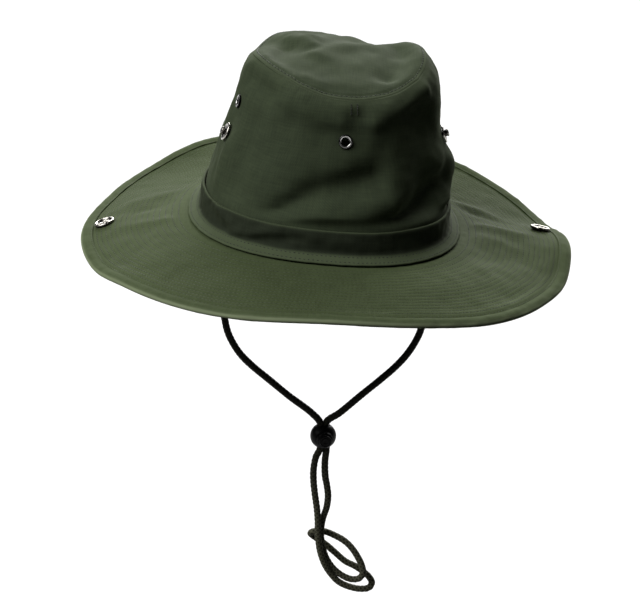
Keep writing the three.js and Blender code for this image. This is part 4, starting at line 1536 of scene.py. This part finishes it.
# Painted highlights on the crowns of the strands.
worn = np.clip(braid, 0, 1)
cord_mesh = grid_mesh("chin_cord_braid", cord_grid, cord_flat, hoop=False, worn=worn, handled=handled)
print("cord faces:", len(cord_mesh.polygons))

# %% [markdown]
# Polyester braid is nearly black. The crowns of its strands are painted soft grey, as painted
# highlights. The loop hangs in the light below the brim and is painted lighter, towards a warm
# grey, as painted light. The cord by the hat lies in the brim's shade and is left dark. One value
# kept at each point, `handled`, blends the two shades.


# %% Braided polyester
def braided_polyester(name, dark, light, loop_lit_dark, loop_lit_light):
    material, tree = new_material(name)
    filaments = noise(tree, flat_place(tree), 3.2, 2)
    lit = maths(tree, "MULTIPLY", attribute(tree, "worn"), filaments)
    dyed = blend_colours(tree, lit, linear(dark), linear(light))
    loop_lit = blend_colours(tree, lit, linear(loop_lit_dark), linear(loop_lit_light))
    surface = {
        "Base Color": blend_colours(tree, attribute(tree, "handled"), dyed, loop_lit),
        "Roughness": 0.62,
        "Specular IOR Level": 0.05,
        "Normal": bump(tree, filaments, 0.35, 0.12),
    }
    add_surface(tree, surface)
    return material


polyester = braided_polyester("braided_polyester", "#12120e", "#2e2e26", "#34342a", "#84846f")
chin_cord_braid = new_piece("chin_cord_braid", cord_mesh, polyester)
print("chin cord ready")

# %% [markdown]
# ## Cord tabs
#
# Each end of the cord is sewn into a folded tab of the hat's own cloth, inside the crown's foot.
# The tab is a rounded block of folded tape. Its section is a boxy superellipse, which swells and
# narrows up its height as a table says.

# %% Tabs
TAB_COLUMNS = 64
TAB_TRIM = 0.1  # keeps the tab's skin inside its packed size
TAB_ROWS = np.array([0, 0.03, 0.08, 0.2, 0.45, 0.7, 0.86, 0.93, 0.97, 1])
TAB_SWELL = np.array([0.7, 0.9, 0.98, 1.0, 1.0, 0.98, 0.94, 0.8, 0.55, 0.25])
TAB_ROUND = 30  # flat millimetres round a tab

tab_turns, tab_closed = round_about(TAB_COLUMNS)
tab_angle = np.radians(tab_turns)
tab_flat = np.stack(np.meshgrid(tab_closed / 360 * TAB_ROUND, TAB_ROWS * TAB_HEIGHT), -1)
tab_across = raised(np.cos(tab_angle), 0.5) * (TAB_THICKNESS / 2 - TAB_TRIM) * TAB_SWELL[:, None]
tab_along = raised(np.sin(tab_angle), 0.25) * (TAB_WIDTH / 2 - TAB_TRIM)
tab_along = tab_along * (0.9 + 0.1 * np.sqrt(TAB_SWELL))[:, None]
tab_up = (TAB_ROWS[:, None] - 0.5) * (TAB_HEIGHT - 2 * TAB_TRIM)
tab_shape = np.stack(np.broadcast_arrays(tab_across, tab_along, tab_up), -1)
tabs = {}
for side, name in ((-1, "left"), (1, "right")):
    title = f"cord_tab_{name}_cloth"
    grid = leaned(tab_shape + tab_centre(side))
    tabs[name] = new_piece(title, grid_mesh(title, grid, tab_flat, hoop=False, worn=0.2), drill_brim)
print("tabs:", len(tabs))

# %% [markdown]
# ## Cord lock
#
# The lock is a moulded ball with a spring button in a bore. A slot runs through both, and the
# spring presses the button's far edge against the cord. Ball and button are turned profiles
# with the bore and slot cut out by Booleans. One bar cuts both slots, so they share these
# measures.

# %% Lock measures
BUTTON_RADIUS, BUTTON_FRONT, BUTTON_STROKE, BUTTON_HEEL = 5.9, -12, 2.2, 1.6
CORD_PLAY = 0.5  # clearance round the strands
SLOT_WIDE = STRAND + CORD_RADIUS + CORD_PLAY
SLOT_DEEP = CORD_RADIUS + CORD_PLAY
LOCK_SIDES = 96
SLOT_SIDES = 48
heel_end = SLOT_DEEP + BUTTON_HEEL


def slot_cutter(front, back):
    """A long bar with a round-ended section, along Z."""
    ends = np.radians(np.arange(0, 360, 360 / SLOT_SIDES) + 180 / SLOT_SIDES)
    x = np.cos(ends) * SLOT_DEEP + np.sign(np.cos(ends)) * (SLOT_WIDE - SLOT_DEEP)
    y_round = np.sin(ends) * SLOT_DEEP
    y = np.where(np.sin(ends) > 0, y_round + back - SLOT_DEEP, y_round + front + SLOT_DEEP)
    half = 1.5 * LOCK_RADIUS
    grid = np.stack([np.stack([x, y, np.full_like(x, z)], -1) for z in (-half, half)])
    flat = np.zeros((2, SLOT_SIDES + 1, 2))
    return new_piece("slot_cutter", grid_mesh("slot_cutter", grid, flat, hoop=False))


def along_bore(mesh):
    """Turns a mesh made upright so that its +Z lies along the bore's +Y."""
    mesh.transform(Matrix.Rotation(-math.pi / 2, 4, "X"))
    return mesh


def place_in_lock(piece, material):
    """Gives a cut piece its material, and turns and moves it to the lock's place on the cord."""
    piece.data.materials.clear()
    piece.data.materials.append(material)
    turn = Matrix.Rotation(LOCK_TURN, 4, "Z")
    piece.data.transform(Matrix.Translation(Vector(LOCK_CENTRE) * MM) @ turn)


def break_edges(piece, width, angle=35):
    bevel = piece.modifiers.new("bevel", "BEVEL")
    bevel.width, bevel.segments, bevel.limit_method = width * MM, 2, "ANGLE"
    bevel.angle_limit = math.radians(angle)
    apply_modifiers(piece)
    piece.data.shade_smooth()


print("slot", round(2 * SLOT_WIDE, 1), "by", 2 * SLOT_DEEP, "mm")

# %% [markdown]
# Acetal is a hard, slippery plastic. Here it is black and smooth, with a slight grain from its
# mould. One broad noise drives both colour and roughness, so rubbed patches are a little paler
# and duller.

# %% Moulded acetal
GRAIN = 0.35
RUBBED_PATCH = 6


def moulded_acetal(name, colour, worn_colour):
    material, tree = new_material(name)
    place = object_place(tree)
    grain = noise(tree, place, 1 / (GRAIN * MM), 2)
    rubbed = noise(tree, place, 1 / (RUBBED_PATCH * MM), 4)
    surface = {
        "Base Color": blend_colours(tree, rubbed, linear(colour), linear(worn_colour)),
        "Roughness": map_range(tree, rubbed, 0.3, 0.7, 0.36, 0.5),
        "Specular IOR Level": 0.05,
        "Normal": bump(tree, grain, 0.2, 0.03),
    }
    add_surface(tree, surface)
    return material


acetal = moulded_acetal("moulded_acetal", "#030303", "#070707")
print("plastic:", acetal.name)

# %% [markdown]
# The body is a ball with a blind bore for the button and a slot for the two strands, as a mould's
# cores would leave them. A small bevel then breaks the cut edges, since a moulded part has no
# knife edges.

# %% Lock body
BALL_RINGS = 49
EDGE_BEVEL = 0.3
ball_turns = np.radians(np.linspace(-90, 90, BALL_RINGS))
ball_profile = [(max(LOCK_RADIUS * math.cos(a), AXIS), LOCK_RADIUS * math.sin(a), 0) for a in ball_turns]
lock_body = new_piece("cord_lock_body_moulding", turned_mesh("ball", ball_profile, sides=LOCK_SIDES))
bore_end = heel_end + BUTTON_STROKE + GAP
bore_profile = [(BUTTON_RADIUS + GAP, -2 * LOCK_RADIUS, 0), (BUTTON_RADIUS + GAP, bore_end, 0)]
bore = new_piece("bore_cutter", along_bore(turned_mesh("bore_cutter", bore_profile, sides=LOCK_SIDES)))
cut_from(lock_body, bore)
cut_from(lock_body, slot_cutter(-SLOT_DEEP, SLOT_DEEP))
break_edges(lock_body, EDGE_BEVEL)
place_in_lock(lock_body, acetal)
print("lock body:", len(lock_body.data.polygons), "faces")

# %% [markdown]
# The button is a plug with a ringed face and a wider skirt. Its slot is longer than the body's by
# the stroke, towards the front, so the cord stays clear wherever the button stands. The piece is
# made at rest. The joint moves the body that it rides on.

# %% Lock button
BUTTON_FACE = [
    # radius, and depth behind the button's front: the ringed face, its rim and the wider skirt
    (AXIS, 0.4),
    (1.3, 0.4),
    (1.55, 0.1),
    (1.9, 0),
    (2.5, 0),
    (2.8, 0.1),
    (3.0, 0.35),
    (3.2, 0.35),
    (3.4, 0.1),
    (3.7, 0),
    (4.1, 0.05),
    (4.4, 0.25),
    (4.5, 0.6),
    (4.5, 1.6),
    (5.6, 2.2),
    (5.85, 2.5),
    (BUTTON_RADIUS, 3.0),
]
button_profile = [(radius, BUTTON_FRONT + depth, 0) for radius, depth in BUTTON_FACE]
button_profile += [(BUTTON_RADIUS, heel_end - 0.3, 0), (5.6, heel_end, 0), (AXIS, heel_end, 0)]
button_mesh = along_bore(turned_mesh("plunger", button_profile, sides=LOCK_SIDES))
lock_button = new_piece("cord_lock_button_moulding", button_mesh)
cut_from(lock_button, slot_cutter(-SLOT_DEEP - BUTTON_STROKE, SLOT_DEEP))
lock_button.data.shade_smooth()
lock_button.data.set_sharp_from_angle(angle=math.radians(40))
place_in_lock(lock_button, acetal)
print("lock button:", len(lock_button.data.polygons), "faces")

# %% [markdown]
# ## Every piece finds its body
#
# The cloth, cord and metal all ride on the hat. Only the lock's button moves, so it rides on the
# button's body. Each piece names the imported node that it stands for, and a material slot, which
# nothing here reads. The stitches and the painted shade of the needle holes stand for no node.
# They only ride along.

# %% Riding and replacing
STANDS_FOR = [
    (crown_side, "crown_side", "cotton_crown"),
    (crown_tip_cloth, "crown_tip", "cotton_crown"),
    (hat_band, "hat_band", "cotton_crown"),
    (brim, "brim", "cotton_brim"),
    (brim_hem, "brim_hem", "cotton_brim"),
    (chin_cord_braid, "chin_cord", "cord_braid"),
    (lock_body, "cord_lock_body", "lock_plastic"),
    (lock_button, "cord_lock_button", "lock_plastic"),
]
STANDS_FOR += [(piece, name, "nickel") for name, piece in eyelets.items()]
STANDS_FOR += [(piece, f"crown_snap_{side}", "nickel") for side, piece in studs.items()]
STANDS_FOR += [(piece, f"brim_snap_{side}", "nickel") for side, piece in sockets.items()]
STANDS_FOR += [(piece, f"cord_tab_{side}", "cotton_brim") for side, piece in tabs.items()]
for piece, node, slot in STANDS_FOR:
    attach(piece, "button" if piece is lock_button else "hat")
    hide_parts(node)
SEWN = [
    (brim_quilting, "cotton_brim"),
    (quilt_hole_shade, "cotton_brim"),
    (hem_stitches, "cotton_brim"),
    (tip_stitches, "cotton_crown"),
    (tip_hole_shade, "cotton_crown"),
    (band_stitches, "cotton_crown"),
    (tack_bars, "cotton_crown"),
]
for piece, slot in SEWN:
    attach(piece, "hat")

print("pieces:", len(STANDS_FOR) + len(SEWN))

# %% [markdown]
# ## Floor and light
#
# The hat hangs over a wide white floor, far enough below that it takes no clear shadow.
#
# A photographer would hang black cloth in front of such a floor, to keep its glare off the
# hat's upright front. Here the floor simply gives no diffuse light back to the hat.

# %% Floor
FLOOR_HALF = 15000
FLOOR_DEPTH = -1200

floor_corners = np.array([(-1, -1, 0), (1, -1, 0), (1, 1, 0), (-1, 1, 0)]) * FLOOR_HALF
floor_corners[:, 2] = FLOOR_DEPTH
white_floor, tree = new_material("white_floor")
add_surface(tree, {"Base Color": linear("#e6e6e6"), "Roughness": 0.9, "Specular IOR Level": 0.0})
floor = new_piece("floor", mesh_from("floor", floor_corners, [(0, 1, 2, 3)]), white_floor)
floor.visible_diffuse = False
print("floor at", FLOOR_DEPTH, "mm")

# %% [markdown]
# Two large soft suns light the hat. The key stands high on the left. The other stands low behind
# the hat, and rims the brim and the crown's top. A faint, even sky opens the shade a little. Suns
# light every piece alike, so the light stays the same wherever the hat hangs.

# %% Lights
LIGHT_SPREAD = math.radians(50)
SUNS = {
    # the direction it shines from in degrees round from +X, degrees up, and its strength
    "key": (206, 50, 3.15),
    "rim": (80, 27, 4.5),
}
SKY_STRENGTH = 0.02

for name, (turn, rise, strength) in SUNS.items():
    light = bpy.data.lights.new(name, "SUN")
    light.energy, light.angle = strength, LIGHT_SPREAD
    sun = bpy.data.objects.new(name, light)
    sun.rotation_euler = Euler((math.radians(90 - rise), 0, math.radians(turn + 90)))
    bpy.context.scene.collection.objects.link(sun)

world = bpy.data.worlds.new("sky")
world.use_nodes = True
sky = world.node_tree.nodes["Background"]
sky.inputs["Color"].default_value = (1, 1, 1, 1)
sky.inputs["Strength"].default_value = SKY_STRENGTH
bpy.context.scene.world = world
bpy.context.scene.view_settings.view_transform = "Standard"
print("suns", list(SUNS), "sky", SKY_STRENGTH)
